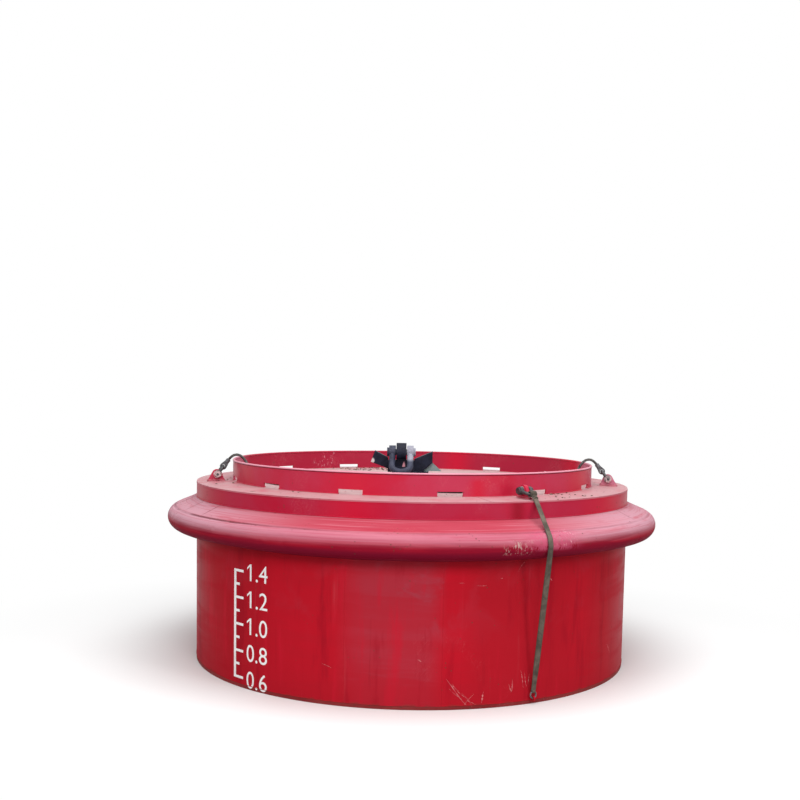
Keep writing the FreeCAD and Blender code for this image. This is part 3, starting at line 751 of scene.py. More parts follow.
# %% Zinc and wire
galvanised = metal("galvanised", (0.34, 0.35, 0.36), (0.55, 0.56, 0.57), roughness=0.42, metallic=0.85,
                   rusted=0.1)
zinc = metal("cast_zinc", (0.42, 0.43, 0.44), (0.58, 0.59, 0.6), roughness=0.62, metallic=0.6, rusted=0.05,
             size=0.008)
dull_zinc = metal("dull_zinc", (0.05, 0.05, 0.055), (0.14, 0.14, 0.145), roughness=0.5, metallic=0.3,
                  rusted=0.2, mottle=0.03, specular=0.3)
wire = metal("wire", (0.025, 0.022, 0.02), (0.08, 0.07, 0.062), roughness=0.5, metallic=0.5, rusted=0.3,
             size=0.002, mottle=0.02)

# %% White marking paint
marking_white, spot = finish("marking_white", 0.5, 0.3)
clean_white, worn_white = (0.95, 0.92, 0.92), (0.84, 0.77, 0.77)
flaked = patches(spot, size=0.03, cover=0.4, edge=0.1)
use(marking_white, blend_colour(flaked, clean_white, worn_white),
    relief(spot, size=0.004, waviness=0.1), 0.001, 0.3, roughness=mix_value(flaked, 0.45, 0.6))

# %% Webbing
webbing, spot = finish("strap_webbing", 0.85, 0.2)
damp, dry = (0.065, 0.051, 0.04), (0.155, 0.124, 0.097)
# The second colour below is a painted shade in the grooves between the ribs.
strap_edge_dark, rib_shade = (0.06, 0.055, 0.045), (0.07, 0.065, 0.05)
cloth = spot.other("UV")
ribs = weave(cloth, across=9.0, along=1.0)
stain = patches(spot, size=0.09, cover=0.5, edge=0.15)
# The strap turns darker towards both edges.
off_middle = abs(parts_of(cloth)[0] - 0.5)
colour = layers(blend_colour(stain, damp, dry), (band(off_middle, 0.36, 0.46), strap_edge_dark, 0.8),
                (band(ribs, 0.55, 0.2), rib_shade, 0.5))
use(webbing, colour, ribs, strength=0.6)

# %% Finishes on the CAD nodes
finish_of = {"hull_red": hull_paint, "coaming_red": coaming_paint, "deck_red": deck_paint,
             "fender_red": fender_paint, "bottom_paint": bottom_paint, "dark_steel": dark_steel,
             "worn_steel": worn_steel, "green_primer": primer, "dark_shackle": shackle_steel,
             "galvanised": galvanised, "zinc": zinc, "wire_rope": wire, "webbing": webbing}
for part in frame["record"]["subparts"]:
    mesh = cad[part["node"]].data
    mesh.materials.clear()
    mesh.materials.append(finish_of[part["material_slot"]])
cad["sheer_band"].data.materials[0] = band_paint
cad["strap_ring"].data.materials[0] = dull_zinc

# %% [markdown]
# ## The sling's line
# The wire rope leaves one sling end, goes over the rim, lies round the near half
# of the deck inside the coaming, and goes back over the rim to the other end. A
# simulation could drop it there, but listed points give the same line and
# length each time. One NURBS spline smooths them.

# %% Sling route
sling_points = [
    (-1.4935, -0.4002, 1.6411), (-1.4657, -0.3927, 1.677), (-1.4109, -0.3833, 1.682),
    (-1.369, -0.3771, 1.644), (-1.3387, -0.3814, 1.59), (-1.3133, -0.404, 1.54), (-1.2747, -0.4741, 1.5),
    (-1.214, -0.579, 1.4874), (-1.1157, -0.7385, 1.4876), (-0.9837, -0.9173, 1.4874),
    (-0.7824, -1.0382, 1.489), (-0.5607, -1.1004, 1.4912), (-0.3508, -1.1476, 1.4925),
    (-0.127, -1.2083, 1.4919), (0.1103, -1.2602, 1.4902), (0.3652, -1.2737, 1.4881),
    (0.6138, -1.2046, 1.4871), (0.8188, -1.0481, 1.4879), (0.9624, -0.8515, 1.4895),
    (1.0999, -0.674, 1.4893), (1.2197, -0.5177, 1.4881), (1.2977, -0.3721, 1.4872), (1.337, -0.2599, 1.5),
    (1.3606, -0.1912, 1.54), (1.3822, -0.1648, 1.59), (1.4112, -0.1583, 1.644), (1.4534, -0.1579, 1.682),
    (1.5091, -0.1586, 1.677), (1.5377, -0.1616, 1.6411)]
print(len(sling_points), "points of the sling")

# %% Sling as one smooth line
sling_curve = bpy.data.curves.new("sling_rope", "CURVE")
sling_curve.dimensions = "3D"
sling_curve.resolution_u = 12
spline = sling_curve.splines.new("NURBS")
spline.points.add(len(sling_points) - 1)
for control, point in zip(spline.points, sling_points):
    control.co = (*point, 1.0)
spline.order_u = 3
spline.use_endpoint_u = True
sling_line = show("sling_line", sling_curve)
sling_path = [vertex.co.copy() for vertex in bpy.data.meshes.new_from_object(sling_line).vertices]
bpy.data.objects.remove(sling_line)

# %% [markdown]
# ## Trees that grow shapes
# Ropes, weld beads, bolts and crumbs of dirt all repeat or follow a line, which
# is what Geometry Nodes do best. Each tree is built once, with named inputs. The
# piece it grows on holds only the line or patch, and the result replaces it as a
# plain mesh, because later steps want meshes without modifiers.

# %% Making a tree
def shape(smooth=True, **sizes):
    """Makes a Geometry Nodes tree of the formula under it, ending in real meshes with a finish."""
    def build(formula):
        def grown(geometry, material, **given):
            tree = geometry.tree
            shaded = put(tree, "GeometryNodeSetShadeSmooth", {
                "Geometry": formula(geometry, **given), "Shade Smooth": smooth})
            real = put(tree, "GeometryNodeRealizeInstances", {"Geometry": shaded})
            return put(tree, "GeometryNodeSetMaterial", {"Geometry": real, "Material": material})
        grown.__name__ = formula.__name__
        inputs = {"geometry": "NodeSocketGeometry", **sizes, "material": "NodeSocketMaterial"}
        return node_group(grown, "GeometryNodeTree", inputs, "Geometry", "NodeSocketGeometry")
    return build


# %% Running a tree
def grow(piece, tree, slot, material, body="hull", **values):
    """Runs a tree on a piece and keeps the result as a plain mesh on a body."""
    modifier = piece.modifiers.new(tree.name, "NODES")
    modifier.node_group = tree
    wanted = {label(name): value for name, value in {**values, "material": material}.items()}
    for item in tree.interface.items_tree:
        if item.in_out == "INPUT" and item.name in wanted:
            modifier[item.identifier] = wanted.pop(item.name)
    assert not wanted, wanted
    solid = bpy.data.meshes.new_from_object(piece.evaluated_get(bpy.context.evaluated_depsgraph_get()))
    piece.modifiers.remove(modifier)
    piece.data = solid
    return settle(piece, body)


# %% Nodes that the trees share
def source(geometry, kind, output=0):
    """A field that a Geometry Nodes tree reads off its points."""
    return put(geometry.tree, kind, output=output)


def line_of(geometry, step=None):
    """A piece's edges as a curve, with even points if a step is given."""
    line = put(geometry.tree, "GeometryNodeMeshToCurve", {"Mesh": geometry})
    if step:
        line = put(geometry.tree, "GeometryNodeResampleCurve", {"Curve": line, "Length": step}, mode="LENGTH")
    return line


def swept(line, profile, scale=None):
    return put(line.tree, "GeometryNodeCurveToMesh", {
        "Curve": line, "Profile Curve": profile, "Scale": scale, "Fill Caps": True})


def ring(tree, sides, radius):
    return put(tree, "GeometryNodeCurvePrimitiveCircle", {"Resolution": sides, "Radius": radius})


def join(*shapes):
    return put(shapes[0].tree, "GeometryNodeJoinGeometry", {0: list(shapes)})


# %% Laid rope: strands on a helix round a line, and a core
@shape(radius=0.011, strand=0.0042, lay=0.14, step=0.01, strands=6, sides=7)
def laid_rope(geometry, radius, strand, lay, step, strands, sides):
    tree, line = geometry.tree, line_of(geometry, step)
    copies = put(tree, "GeometryNodeDuplicateElements", {"Geometry": line, "Amount": strands},
                 domain="SPLINE")
    share = copies.other("Duplicate Index") / strands
    along = source(geometry, "GeometryNodeSplineParameter", "Length") / lay
    turn = put(tree, "FunctionNodeAxisAngleToRotation", {
        "Axis": source(geometry, "GeometryNodeInputTangent"), "Angle": (share + along) * math.tau})
    aside = put(tree, "FunctionNodeRotateVector", {
        "Vector": source(geometry, "GeometryNodeInputNormal"), "Rotation": turn})
    helix = put(tree, "GeometryNodeSetPosition", {"Geometry": copies, "Offset": aside * (radius - strand)})
    return join(swept(helix, ring(tree, sides, strand)), swept(line, ring(tree, sides, radius - strand)))


# %% The sling as a wire rope
rope_radius = 0.011
sling_rope = grow(line_piece("laid_sling_rope", [sling_path]), laid_rope, "wire_rope", wire,
                  radius=rope_radius, strand=0.0042, lay=0.14, step=0.012, strands=6, sides=7)
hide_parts("sling_rope")

# %% [markdown]
# ## The fender
# The real fender is two half rings with sloping top and bottom plates and a
# rolled nose. Its shape follows a rule, one outline carried round the hull. A
# Screw modifier could carry it too, but a node tree can also push the result in a
# little by noise, for the waves of old plate: the outline is the piece, and an
# arc carries it. A narrow groove marks the seam between upper plate and nose.

# %% The fender's outline
nose_radius = 0.098
nose_centre = Vector((fender_reach - nose_radius, band_foot - 0.163))
root_top, root_low = Vector((hull_radius, band_foot)), Vector((hull_radius, fender_foot))


print("rolled nose round", [round(value, 4) for value in nose_centre])


# %% Slopes that touch the nose
def on_nose(angle):
    return nose_centre + nose_radius * Vector((math.cos(angle), math.sin(angle)))


def touch(point, side):
    """Angle on the nose where a line from a point touches it."""
    away = point - nose_centre
    return math.atan2(away.y, away.x) + side * math.acos(nose_radius / away.length)


def between(first, last, count):
    return [first.lerp(last, k / count) for k in range(count)]


groove_depth, groove_width, nose_cuts = 0.004, 0.007, 26
top_angle, low_angle = touch(root_top, -1), touch(root_low, 1)
down_slope = (on_nose(top_angle) - root_top).normalized()
groove = on_nose(top_angle) + groove_depth * Vector((down_slope.y, -down_slope.x))
before_groove = on_nose(top_angle) - groove_width * down_slope
outline = between(root_top, before_groove, 12) + [before_groove, groove]
outline += [on_nose(top_angle + (low_angle - top_angle) * k / nose_cuts) for k in range(1, nose_cuts + 1)]
outline += between(on_nose(low_angle), root_low, 8)[1:] + [root_low]
print(len(outline), "points in the fender's outline")


# %% Fender tree
@shape(hull_radius=1.8, start=0.0, sweep=3.14, segments=360, wave_depth=0.006, dent_depth=0.004, seed=4.0)
def fender_ring(geometry, hull_radius, start, sweep, segments, wave_depth, dent_depth, seed):
    arc = put(geometry.tree, "GeometryNodeCurveArc", {
        "Resolution": segments, "Radius": hull_radius, "Start Angle": start, "Sweep Angle": sweep})
    spot = source(geometry, "GeometryNodeInputPosition")
    seeded = spot + xyz(z=seed)
    wave = noise(seeded, 2.2, 2.0, 0.5) * wave_depth
    dent = band(abs(noise(seeded * (1.0, 1.0, 0.15), 3.4, 1.0, 0.4) - 0.5), 0.012, 0.0) * dent_depth
    free = band(reach_of(spot) - hull_radius, 0.01, 0.08)
    inwards = source(geometry, "GeometryNodeInputNormal") * ((wave + dent) * (free * -1.0))
    return put(geometry.tree, "GeometryNodeSetPosition", {
        "Geometry": swept(arc, line_of(geometry)), "Offset": inwards})


# %% Both halves of the fender
joint_gap = math.degrees(0.003 / hull_radius)
# A profile's x points away from the arc's centre and its y points down.
section = [Vector((point.x - hull_radius, -point.y, 0)) for point in outline + outline[:1]]
for name, azimuth in (("front", joint_azimuth - 180), ("back", joint_azimuth)):
    half = grow(line_piece("fender_plating_" + name, [section]), fender_ring, "fender_red", fender_paint,
                hull_radius=hull_radius, start=math.radians(azimuth - 90 + joint_gap / 2),
                sweep=math.radians(180 - joint_gap), segments=360, wave_depth=0.006, dent_depth=0.003)
    tidy_normals(half)
    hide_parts("fender_" + name)
print("fender box", [round(value, 3) for value in half.dimensions])

# %% [markdown]
# ## Weld beads
# Steel plate is joined by welds, and a bead along a joint is what makes a painted
# corner read as steel. Bump in the paint could hint at one, but only a real tube
# fills the corner. The piece is a set of lines along the joints. The tree turns
# them into tubes whose radius swells and shrinks at every ripple.

# %% Bead tree
@shape(radius=0.005, step=0.006, ripple=0.22, sides=6)
def weld_bead(geometry, radius, step, ripple, sides):
    line = line_of(geometry, step)
    uneven = noise(source(geometry, "GeometryNodeInputPosition"), 60.0, 2.0, 0.6)
    swell = maths("MULTIPLY_ADD", uneven, ripple, 1.0)
    return swept(line, ring(geometry.tree, sides, radius), swell - ripple * 0.5)


def weld(name, lines, slot="hull_red", material=hull_paint, radius=0.005, step=0.014, body="hull"):
    return grow(line_piece("weld_" + name, lines), weld_bead, slot, material, body, radius=radius, step=step,
                ripple=0.45, sides=6)


def round_line(radius, height):
    return [arc_line(0, 360, radius, height)]


# %% Beads along the coaming's foot, between the scuppers
scupper_count, scupper_first, scupper_width = 13, 10.6, 0.188
wide_bead, fine_bead, flat_bead, bead_lift = 0.0055, 0.003, 0.0022, 0.002
half_gap = math.degrees(scupper_width / 2 / coaming_radius)
pitch = 360 / scupper_count
foot_lines = []
for index in range(scupper_count):
    start = scupper_first + index * pitch + half_gap
    end = start + pitch - 2 * half_gap
    for radius in (coaming_radius + bead_lift, coaming_radius - coaming_thickness - bead_lift):
        foot_lines.append(arc_line(start, end, radius, deck_height(radius) + bead_lift))
weld("coaming_foot", foot_lines, "coaming_red", coaming_paint, wide_bead)

# %% Beads round the hull
proud, sunk = 0.001, -0.0005
weld("band_foot", round_line(hull_radius + proud, band_foot + proud), material=band_paint)
weld("deck_edge", round_line(hull_radius + sunk, deck_edge - deck_thickness), material=band_paint,
     radius=flat_bead)
weld("fender_foot", round_line(hull_radius + proud, fender_foot - proud), radius=wide_bead)
seam_azimuths, seam_heights = (-104, -14.6, 7.5, 76, 166), (0.03, 0.6, fender_foot - 0.002)
plate_seams = [[polar(azimuth, hull_radius - 0.0008, height) for height in seam_heights]
               for azimuth in seam_azimuths]
weld("plate_seams", plate_seams, radius=flat_bead)
weld("docking_ring", round_line(hull_radius + sunk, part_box("docking_ring")[1].z), radius=fine_bead)

# %% Beads in the deck
well_radii, walkway_radii = (0.16, 0.8, 1.48), (1.515, 1.65, 1.795)
deck_lines = [[polar(azimuth, radius, deck_height(radius)) for radius in radii]
              for azimuth in (18, 108, 198, 288) for radii in (well_radii, walkway_radii)]
weld("deck_seams", deck_lines, "deck_red", deck_paint, fine_bead)


# %% Beads round what stands on the sloping deck
def on_deck(point, azimuth, radius):
    """Moves a point from level ground to its seat on the deck; +X is outwards."""
    leaned = Matrix.Rotation(camber, 4, "Y") @ Vector(point)
    return spin_by(azimuth - 90, "Z") @ (leaned + Vector((radius, 0, deck_height(radius))))


def rectangle(left, right, half, height):
    corners = ((left, -half), (right, -half), (right, half), (left, half), (left, -half))
    return [(x, y, height) for x, y in corners]


# %% Feet of the manholes and the lugs
manhole_places = {"left": (-45, 0.8), "right": (45, 0.8)}
manhole_radius, manhole_top, circle_cuts = 0.335, 0.028, 120
lug_places = {"left": -75, "front": 29.5, "right": 84, "back": 208.5}
lug_ring_radius = hull_radius - 0.16
lug_pad, lug_blade = rectangle(-0.062, 0.08, 0.02, 0.002), rectangle(-0.058, 0.076, 0.014, 0.011)
cover_turns = [math.tau * k / circle_cuts for k in (*range(circle_cuts), 0)]
cover_reach = manhole_radius + bead_lift
cover = [(cover_reach * math.cos(turn), cover_reach * math.sin(turn), bead_lift) for turn in cover_turns]
standing = [[on_deck(point, *place) for point in cover] for place in manhole_places.values()]
for azimuth in lug_places.values():
    standing += [[on_deck(point, azimuth, lug_ring_radius) for point in foot]
                 for foot in (lug_pad, lug_blade)]
weld("deck_fittings", standing, "deck_red", deck_paint, 0.0045, 0.009)

# %% Beads on the mooring head and round the lashing eye
table_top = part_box("swivel_turntable")[1].z
yoke_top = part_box("head_eye")[0].z
head_x = (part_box("head_eye")[0].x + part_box("head_eye")[1].x) / 2
head_side, bearing_radius, eye_side, small_step = 0.042, 0.152, 0.006, 0.007
head_lines = [[Vector((x, side, table_top + proud)) for x in (-0.128, 0.0, 0.083)]
              for side in (-head_side, head_side)]
head_lines += [[Vector((head_x + side, y, yoke_top + proud)) for y in (-0.04, 0.0, 0.04)]
               for side in (-head_side, head_side)]
weld("mooring_head", head_lines, "dark_steel", dark_steel, 0.005, small_step, "swivel_head")
bearing_line = round_line(bearing_radius, deck_height(bearing_radius) + bead_lift)
weld("bearing_base", bearing_line, "dark_steel", dark_steel, 0.006)
strap_azimuth = lug_places["front"]
eye_low, eye_high = (corner.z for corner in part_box("lashing_eye"))
eye_lines = [[polar(strap_azimuth, hull_radius + proud, height) + polar(strap_azimuth + 90, side)
              for height in (eye_low, 0.04, eye_high)] for side in (-eye_side, eye_side)]
weld("lashing_eye", eye_lines, radius=0.004, step=small_step)

# %% [markdown]
# ## Bolts
# Each manhole cover is held by a ring of hexagon bolts on washers, and so is the
# turntable. An Array modifier could repeat one bolt, but all would stand alike.
# The tree places a bolt on every point of a circle and turns each by a random
# angle, because no fitter lines them up.

# %% Bolt tree
@shape(smooth=False, bolt_radius=0.011, head_height=0.009, washer_radius=0.016, washer_height=0.003, seed=3)
def bolt_ring(geometry, bolt_radius, head_height, washer_radius, washer_height, seed):
    tree = geometry.tree

    def round_bar(vertices, radius, depth, middle):
        bar = put(tree, "GeometryNodeMeshCylinder", {"Vertices": vertices, "Radius": radius, "Depth": depth})
        return put(tree, "GeometryNodeTransform", {"Geometry": bar, "Translation": xyz(z=middle)})

    bolt = join(round_bar(20, washer_radius, washer_height, washer_height * 0.5),
                round_bar(6, bolt_radius, head_height, washer_height + head_height * 0.5),
                round_bar(12, bolt_radius * 0.55, head_height, washer_height + head_height))
    spin = put(tree, "FunctionNodeRandomValue", {"Seed": seed, 3: math.pi / 3}, 1, data_type="FLOAT")
    turn = put(tree, "FunctionNodeEulerToRotation", {0: xyz(z=spin)})
    return put(tree, "GeometryNodeInstanceOnPoints", {"Points": geometry, "Instance": bolt, "Rotation": turn})


# %% Bolts on a circle
def bolts(name, azimuths, radius, height, *kept, seat=None, **sizes):
    """Bolts on a level circle, then moved to their seat on the deck if they have one."""
    spots = [polar(azimuth, radius, height) for azimuth in azimuths]
    piece = grow(mesh_piece("bolts_" + name, spots), bolt_ring, *kept, **sizes)
    for vertex in piece.data.vertices if seat else ():
        vertex.co = on_deck(vertex.co, *seat)


# %% Bolts of the manhole covers and the turntable
cover_bolts, cover_bolt_inset, turntable_bolt_circle = 20, 0.028, 0.122
cover_azimuths = [360 * k / cover_bolts for k in range(cover_bolts)]
for number, (name, place) in enumerate(manhole_places.items()):
    bolts("manhole_" + name, cover_azimuths, manhole_radius - cover_bolt_inset, manhole_top, "deck_red",
          deck_paint, seat=place, seed=number + 1)
bolts("turntable", (28, 50, 130, 152), turntable_bolt_circle, table_top, "dark_steel", dark_steel,
      "swivel_head", bolt_radius=0.009, head_height=0.008, washer_radius=0.013, seed=5)

# %% [markdown]
# ## The draft scale
# A white scale of tenths of a metre is painted on the hull's left front. A mask
# could draw bars, but numerals need crisp edges. So both are flat meshes, bent
# round the hull and set a hair off it. The numerals are Blender's own font,
# stretched wide as stencils are.

# %% Flat shapes bent round the hull
scale_azimuth, scale_zero, paint_lift = -46.5, deck_edge - 1.975, 0.0009


def bent(points, azimuth, low):
    """Points (along, up) laid on the hull's side from an azimuth and a height on."""
    return [polar(azimuth + math.degrees(along / hull_radius), hull_radius + paint_lift, low + up)
            for along, up in points]


def strip_faces(first, cuts):
    """Quads along a strip whose points come in pairs."""
    return [(first + k, first + k + 2, first + k + 3, first + k + 1) for k in range(0, 2 * cuts, 2)]


# %% Bars: left, right, low and high edge, and the number of quads
bar_width, tick_height, long_tick, short_tick = 0.027, 0.019, 0.115, 0.07
tenths = range(6, 15)
bars = [(0, bar_width, tenths[0] / 10 - tick_height, tenths[-1] / 10, 1)]
for tenth in tenths:
    bars.append((bar_width, short_tick if tenth % 2 else long_tick, tenth / 10 - tick_height, tenth / 10, 4))
points, faces = [], []
for left, right, low, high, cuts in bars:
    faces += strip_faces(len(points), cuts)
    edges = [left + (right - left) * k / cuts for k in range(cuts + 1)]
    points += bent([(along, up) for along in edges for up in (low, high)], scale_azimuth, scale_zero)
keep(mesh_piece("draft_scale_bars", points, faces), marking_white)


# %% Text as points and faces
def flat_text(words):
    """Points and faces of a text in the built-in font, with its lowest corner at the origin."""
    font = bpy.data.curves.new("numeral", "FONT")
    font.body = words
    font.resolution_u = 6
    written = show("numeral", font)
    mesh = bpy.data.meshes.new_from_object(written.evaluated_get(bpy.context.evaluated_depsgraph_get()))
    bpy.data.objects.remove(written)
    low = Vector([min(vertex.co[axis] for vertex in mesh.vertices) for axis in range(3)])
    return [vertex.co - low for vertex in mesh.vertices], [tuple(face.vertices) for face in mesh.polygons]


model_points, _ = flat_text("0.8")
print("0.8 has", len(model_points), "points")

# %% Numerals beside the even tenths
numeral_height, numeral_width, numeral_right, numeral_rise = 0.127, 0.214, 0.369, 0.053
slanted_stroke = [(-0.030, -0.028), (-0.030, -0.044), (0.004, -0.016), (0.004, 0.0)]
wide = numeral_width / max(point.x for point in model_points)
tall = numeral_height / max(point.y for point in model_points)
points, faces = [], []
for tenth in tenths[::2]:
    corners, shapes = flat_text(f"{tenth / 10:.1f}")
    left = numeral_right - max(point.x for point in corners) * wide
    low = scale_zero + tenth / 10 + numeral_rise - numeral_height
    faces += [tuple(len(points) + k for k in face) for face in shapes]
    points += bent([(left + point.x * wide, point.y * tall) for point in corners], scale_azimuth, low)
    if tenth >= 10:
        # The figure 1 gets the slanted stroke that stencils have.
        faces.append(tuple(range(len(points), len(points) + len(slanted_stroke))))
        stroke = [(left + along, numeral_height + up) for along, up in slanted_stroke]
        points += bent(stroke, scale_azimuth, low)
keep(mesh_piece("draft_scale_numerals", points, faces), marking_white)

# %% [markdown]
# ## Gouges
# Fenders, hooks and grit have cut through the paint low on the side. Noise makes
# fine scratches well, but these few long ones have to lie where they lie. Each is
# a thin strip bent round the hull, a hair off the paint, tapering at its ends.

# %% Gouges: azimuth and height of both ends, and the width
gouges = [
    (8.2, 0.215, 13.6, 0.035, 0.006), (9.8, 0.19, 11.4, 0.13, 0.004), (12.2, 0.12, 14.6, 0.01, 0.003),
    (24.4, 0.19, 24.0, 0.10, 0.009), (26.2, 0.25, 27.4, 0.12, 0.005), (27.3, 0.23, 28.2, 0.13, 0.004),
    (17.3, 0.12, 16.6, 0.04, 0.010), (11.0, 0.90, 12.2, 0.895, 0.004), (15.0, 0.875, 17.5, 0.88, 0.003),
    (10.4, 0.165, 13.9, 0.055, 0.003), (9.0, 0.155, 12.4, 0.075, 0.003), (14.9, 0.115, 12.7, 0.022, 0.004),
    (12.9, 0.062, 15.6, 0.03, 0.003), (8.9, 0.20, 10.1, 0.165, 0.004), (23.5, 0.16, 23.9, 0.10, 0.005),
    (28.9, 0.22, 28.5, 0.14, 0.004), (20.6, 0.92, 21.2, 0.925, 0.006), (25.0, 0.965, 26.8, 1.035, 0.003),
    (-20.0, 0.30, -17.4, 0.262, 0.003), (2.0, 0.36, 3.1, 0.345, 0.006), (34.0, 0.90, 34.6, 0.88, 0.006),
    (58.0, 0.30, 60.5, 0.22, 0.005), (96.0, 0.5, 103.0, 0.34, 0.005), (131.0, 0.22, 133.5, 0.06, 0.006),
    (201.0, 0.62, 207.0, 0.58, 0.004)]
print(len(gouges), "gouges, the widest", max(gouge[-1] for gouge in gouges), "m")

# %% Gouges as thin strips
gouge_paint = two_tone("gouge", 0.7, 0.02, (0.62, 0.2, 0.2), (0.5, 0.05, 0.07))
points, faces, gouge_cuts = [], [], 14
for azimuth, height, last_azimuth, last_height, width in gouges:
    faces += strip_faces(len(points), gouge_cuts)
    along = Vector((math.radians(last_azimuth - azimuth) * hull_radius, last_height - height))
    across = Vector((-along.y, along.x)).normalized()
    for share in [k / gouge_cuts for k in range(gouge_cuts + 1)]:
        half = width / 2 * math.sin(math.pi * min(max(share, 0.04), 0.96)) * (1 + 0.4 * math.sin(share * 23))
        bow = along.length * 0.05 * math.sin(math.pi * share + azimuth)
        points += bent([along * share + across * (bow + half * side) for side in (-1, 1)], azimuth, height)
side_gouges = mesh_piece("paint_gouges", points, faces)
for face in side_gouges.data.polygons:
    if face.normal.dot(Vector((face.center.x, face.center.y, 0))) < 0:
        face.flip()
keep(side_gouges, gouge_paint)

# %% [markdown]
# ## The lashing strap
# Old webbing is pulled tight from the front lug's shackle over the deck's edge
# and the fender's nose down to a ring low on the hull. Cloth physics could drape
# it, but a tight band follows a rule: straight runs that touch round corners. The
# section is a flat band with soft edges. Between fender and ring the strap hangs
# free and turns a little on its way down. The UV map runs across and along it.

# %% The strap's line in its own upright plane
strap_knot = (1.7431, 1.5037)
edge_inset, strap_gap, ring_stand, ring_wire = 0.008, 0.0045, 0.022, 0.006
ring_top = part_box("strap_ring")[1].z - ring_wire
strap_circles = [(*strap_knot, 0.0), (hull_radius - edge_inset, deck_edge - edge_inset, 2 * edge_inset),
                 (*nose_centre, nose_radius + strap_gap), (hull_radius + ring_stand, ring_top, 0.0)]


print("the strap touches", len(strap_circles) - 2, "corners")


# %% A band pulled tight
def tight_line(circles, step=0.012):
    """Points and outward normals (radius, height) of a band pulled tight over circles."""
    angles = []
    for (x0, z0, r0), (x1, z1, r1) in zip(circles, circles[1:]):
        angles.append(math.atan2(z1 - z0, x1 - x0) + math.acos((r0 - r1) / math.hypot(x1 - x0, z1 - z0)))
    spots = []
    for index, angle in enumerate(angles):
        (x0, z0, r0), (x1, z1, r1) = circles[index], circles[index + 1]
        normal = Vector((math.cos(angle), math.sin(angle)))
        start, end = Vector((x0, z0)) + normal * r0, Vector((x1, z1)) + normal * r1
        count = max(2, round((end - start).length / step))
        spots += [(start.lerp(end, k / count), normal) for k in range(count + 1)]
        bend = angles[index + 1] - angle if index + 1 < len(angles) else 0.0
        cuts = max(2, round(abs(bend) * r1 / (step / 2))) if bend else 0
        for k in range(1, cuts):
            normal = Vector((math.cos(angle + bend * k / cuts), math.sin(angle + bend * k / cuts)))
            spots.append((Vector((x1, z1)) + normal * r1, normal))
    return spots


strap_line = tight_line(strap_circles)
strap_reach = [0.0]
for (a, _), (b, _) in zip(strap_line, strap_line[1:]):
    strap_reach.append(strap_reach[-1] + (b - a).length)
strap_length = strap_reach[-1]
print(f"strap {strap_length:.3f} m from shackle to ring")


# %% A soft step from 0 to 1
def smooth_step(value, low, high):
    share = min(max((value - low) / (high - low), 0.0), 1.0)
    return share * share * (3 - 2 * share)


print("halfway", smooth_step(0.5, 0.0, 1.0))


# %% A band as a mesh
def band_piece(name, rows, width, thickness, curl=None):
    """A closed band from rows of (centre, normal, across, reach, thickness factor)."""
    section = [(-0.5, 0.0), (-0.44, 0.42), (-0.2, 0.5), (0.0, 0.46), (0.2, 0.5), (0.44, 0.42), (0.5, 0.0),
               (0.44, -0.42), (0.0, -0.46), (-0.44, -0.42)]
    points, count = [], len(section)
    for centre, normal, across, reach, thick in rows:
        bow = curl(reach) if curl else 0.0
        for x, y in section:
            lift = y * thickness * thick + bow * (0.25 - x * x)
            points.append(centre + across * (x * width) + normal * lift)
    faces = [(row + k, row + (k + 1) % count, row + count + (k + 1) % count, row + count + k)
             for row in range(0, len(points) - count, count) for k in range(count)]
    faces += [tuple(range(count)), tuple(range(len(points) - count, len(points)))]
    piece = mesh_piece(name, points, faces)
    tidy_normals(piece)
    layer = piece.data.uv_layers.new(name="cloth")
    for loop in piece.data.loops:
        row, column = divmod(loop.vertex_index, count)
        layer.data[loop.index].uv = (section[column][0] + 0.5, rows[min(row, len(rows) - 1)][3] / 0.006)
    return piece


# %% The strap's own directions
outward, sideways, upright = polar(strap_azimuth, 1.0), polar(strap_azimuth + 90, 1.0), Vector((0, 0, 1))
strap_width, strap_thickness, strap_lean, strap_turn = 0.042, 0.0052, -0.046, -0.45


def in_space(flat, aside=0.0):
    """A place or direction from the strap's plane."""
    return outward * flat.x + upright * flat.y + sideways * aside


nose_at = next(reach for (spot, _), reach in zip(strap_line, strap_reach) if spot.y < nose_centre[1] + 0.03)
print(f"the strap reaches the nose after {nose_at:.3f} m")

# %% The strap itself; it leans a little to the left where it crosses the nose
rows = []
for (spot, flat), reach in zip(strap_line, strap_reach):
    left = strap_length - reach
    lean = strap_lean * min(reach / nose_at, left / (strap_length - nose_at))
    turn = strap_turn * smooth_step(reach, nose_at, nose_at + 0.3) * smooth_step(left, 0.06, 0.25)
    normal = in_space(flat)
    spin = Matrix.Rotation(turn, 3, normal.cross(sideways))
    folded = 1.0 + 0.5 * smooth_step(reach, strap_length - 0.1, strap_length - 0.085)
    rows.append((in_space(spot, lean), spin @ normal, spin @ sideways, reach, folded))
strap = band_piece("webbing_strap", rows, strap_width, strap_thickness,
                   curl=lambda reach: 0.012 * smooth_step(reach, 0.5, 0.75) * smooth_step(-reach, -1.5, -1.3))
keep(strap, webbing)
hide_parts("lashing_strap")


# %% Rolls of the hitch round the shackle
def spiral_rows(middle, first, last, turns, start, lean=0.0, aside=0.0):
    """Rows of a band wound round an axis that lies across the strap."""
    rows, count = [], round(28 * turns)
    for share in [k / count for k in range(count + 1)]:
        angle = start + math.tau * turns * share
        radius = first + (last - first) * share
        flat = Vector((math.cos(angle), math.sin(angle)))
        centre = in_space(Vector(middle) + flat * radius, lean * (share - 0.5) + aside)
        rows.append((centre, in_space(flat), sideways, radius * angle, 1.0))
    return rows


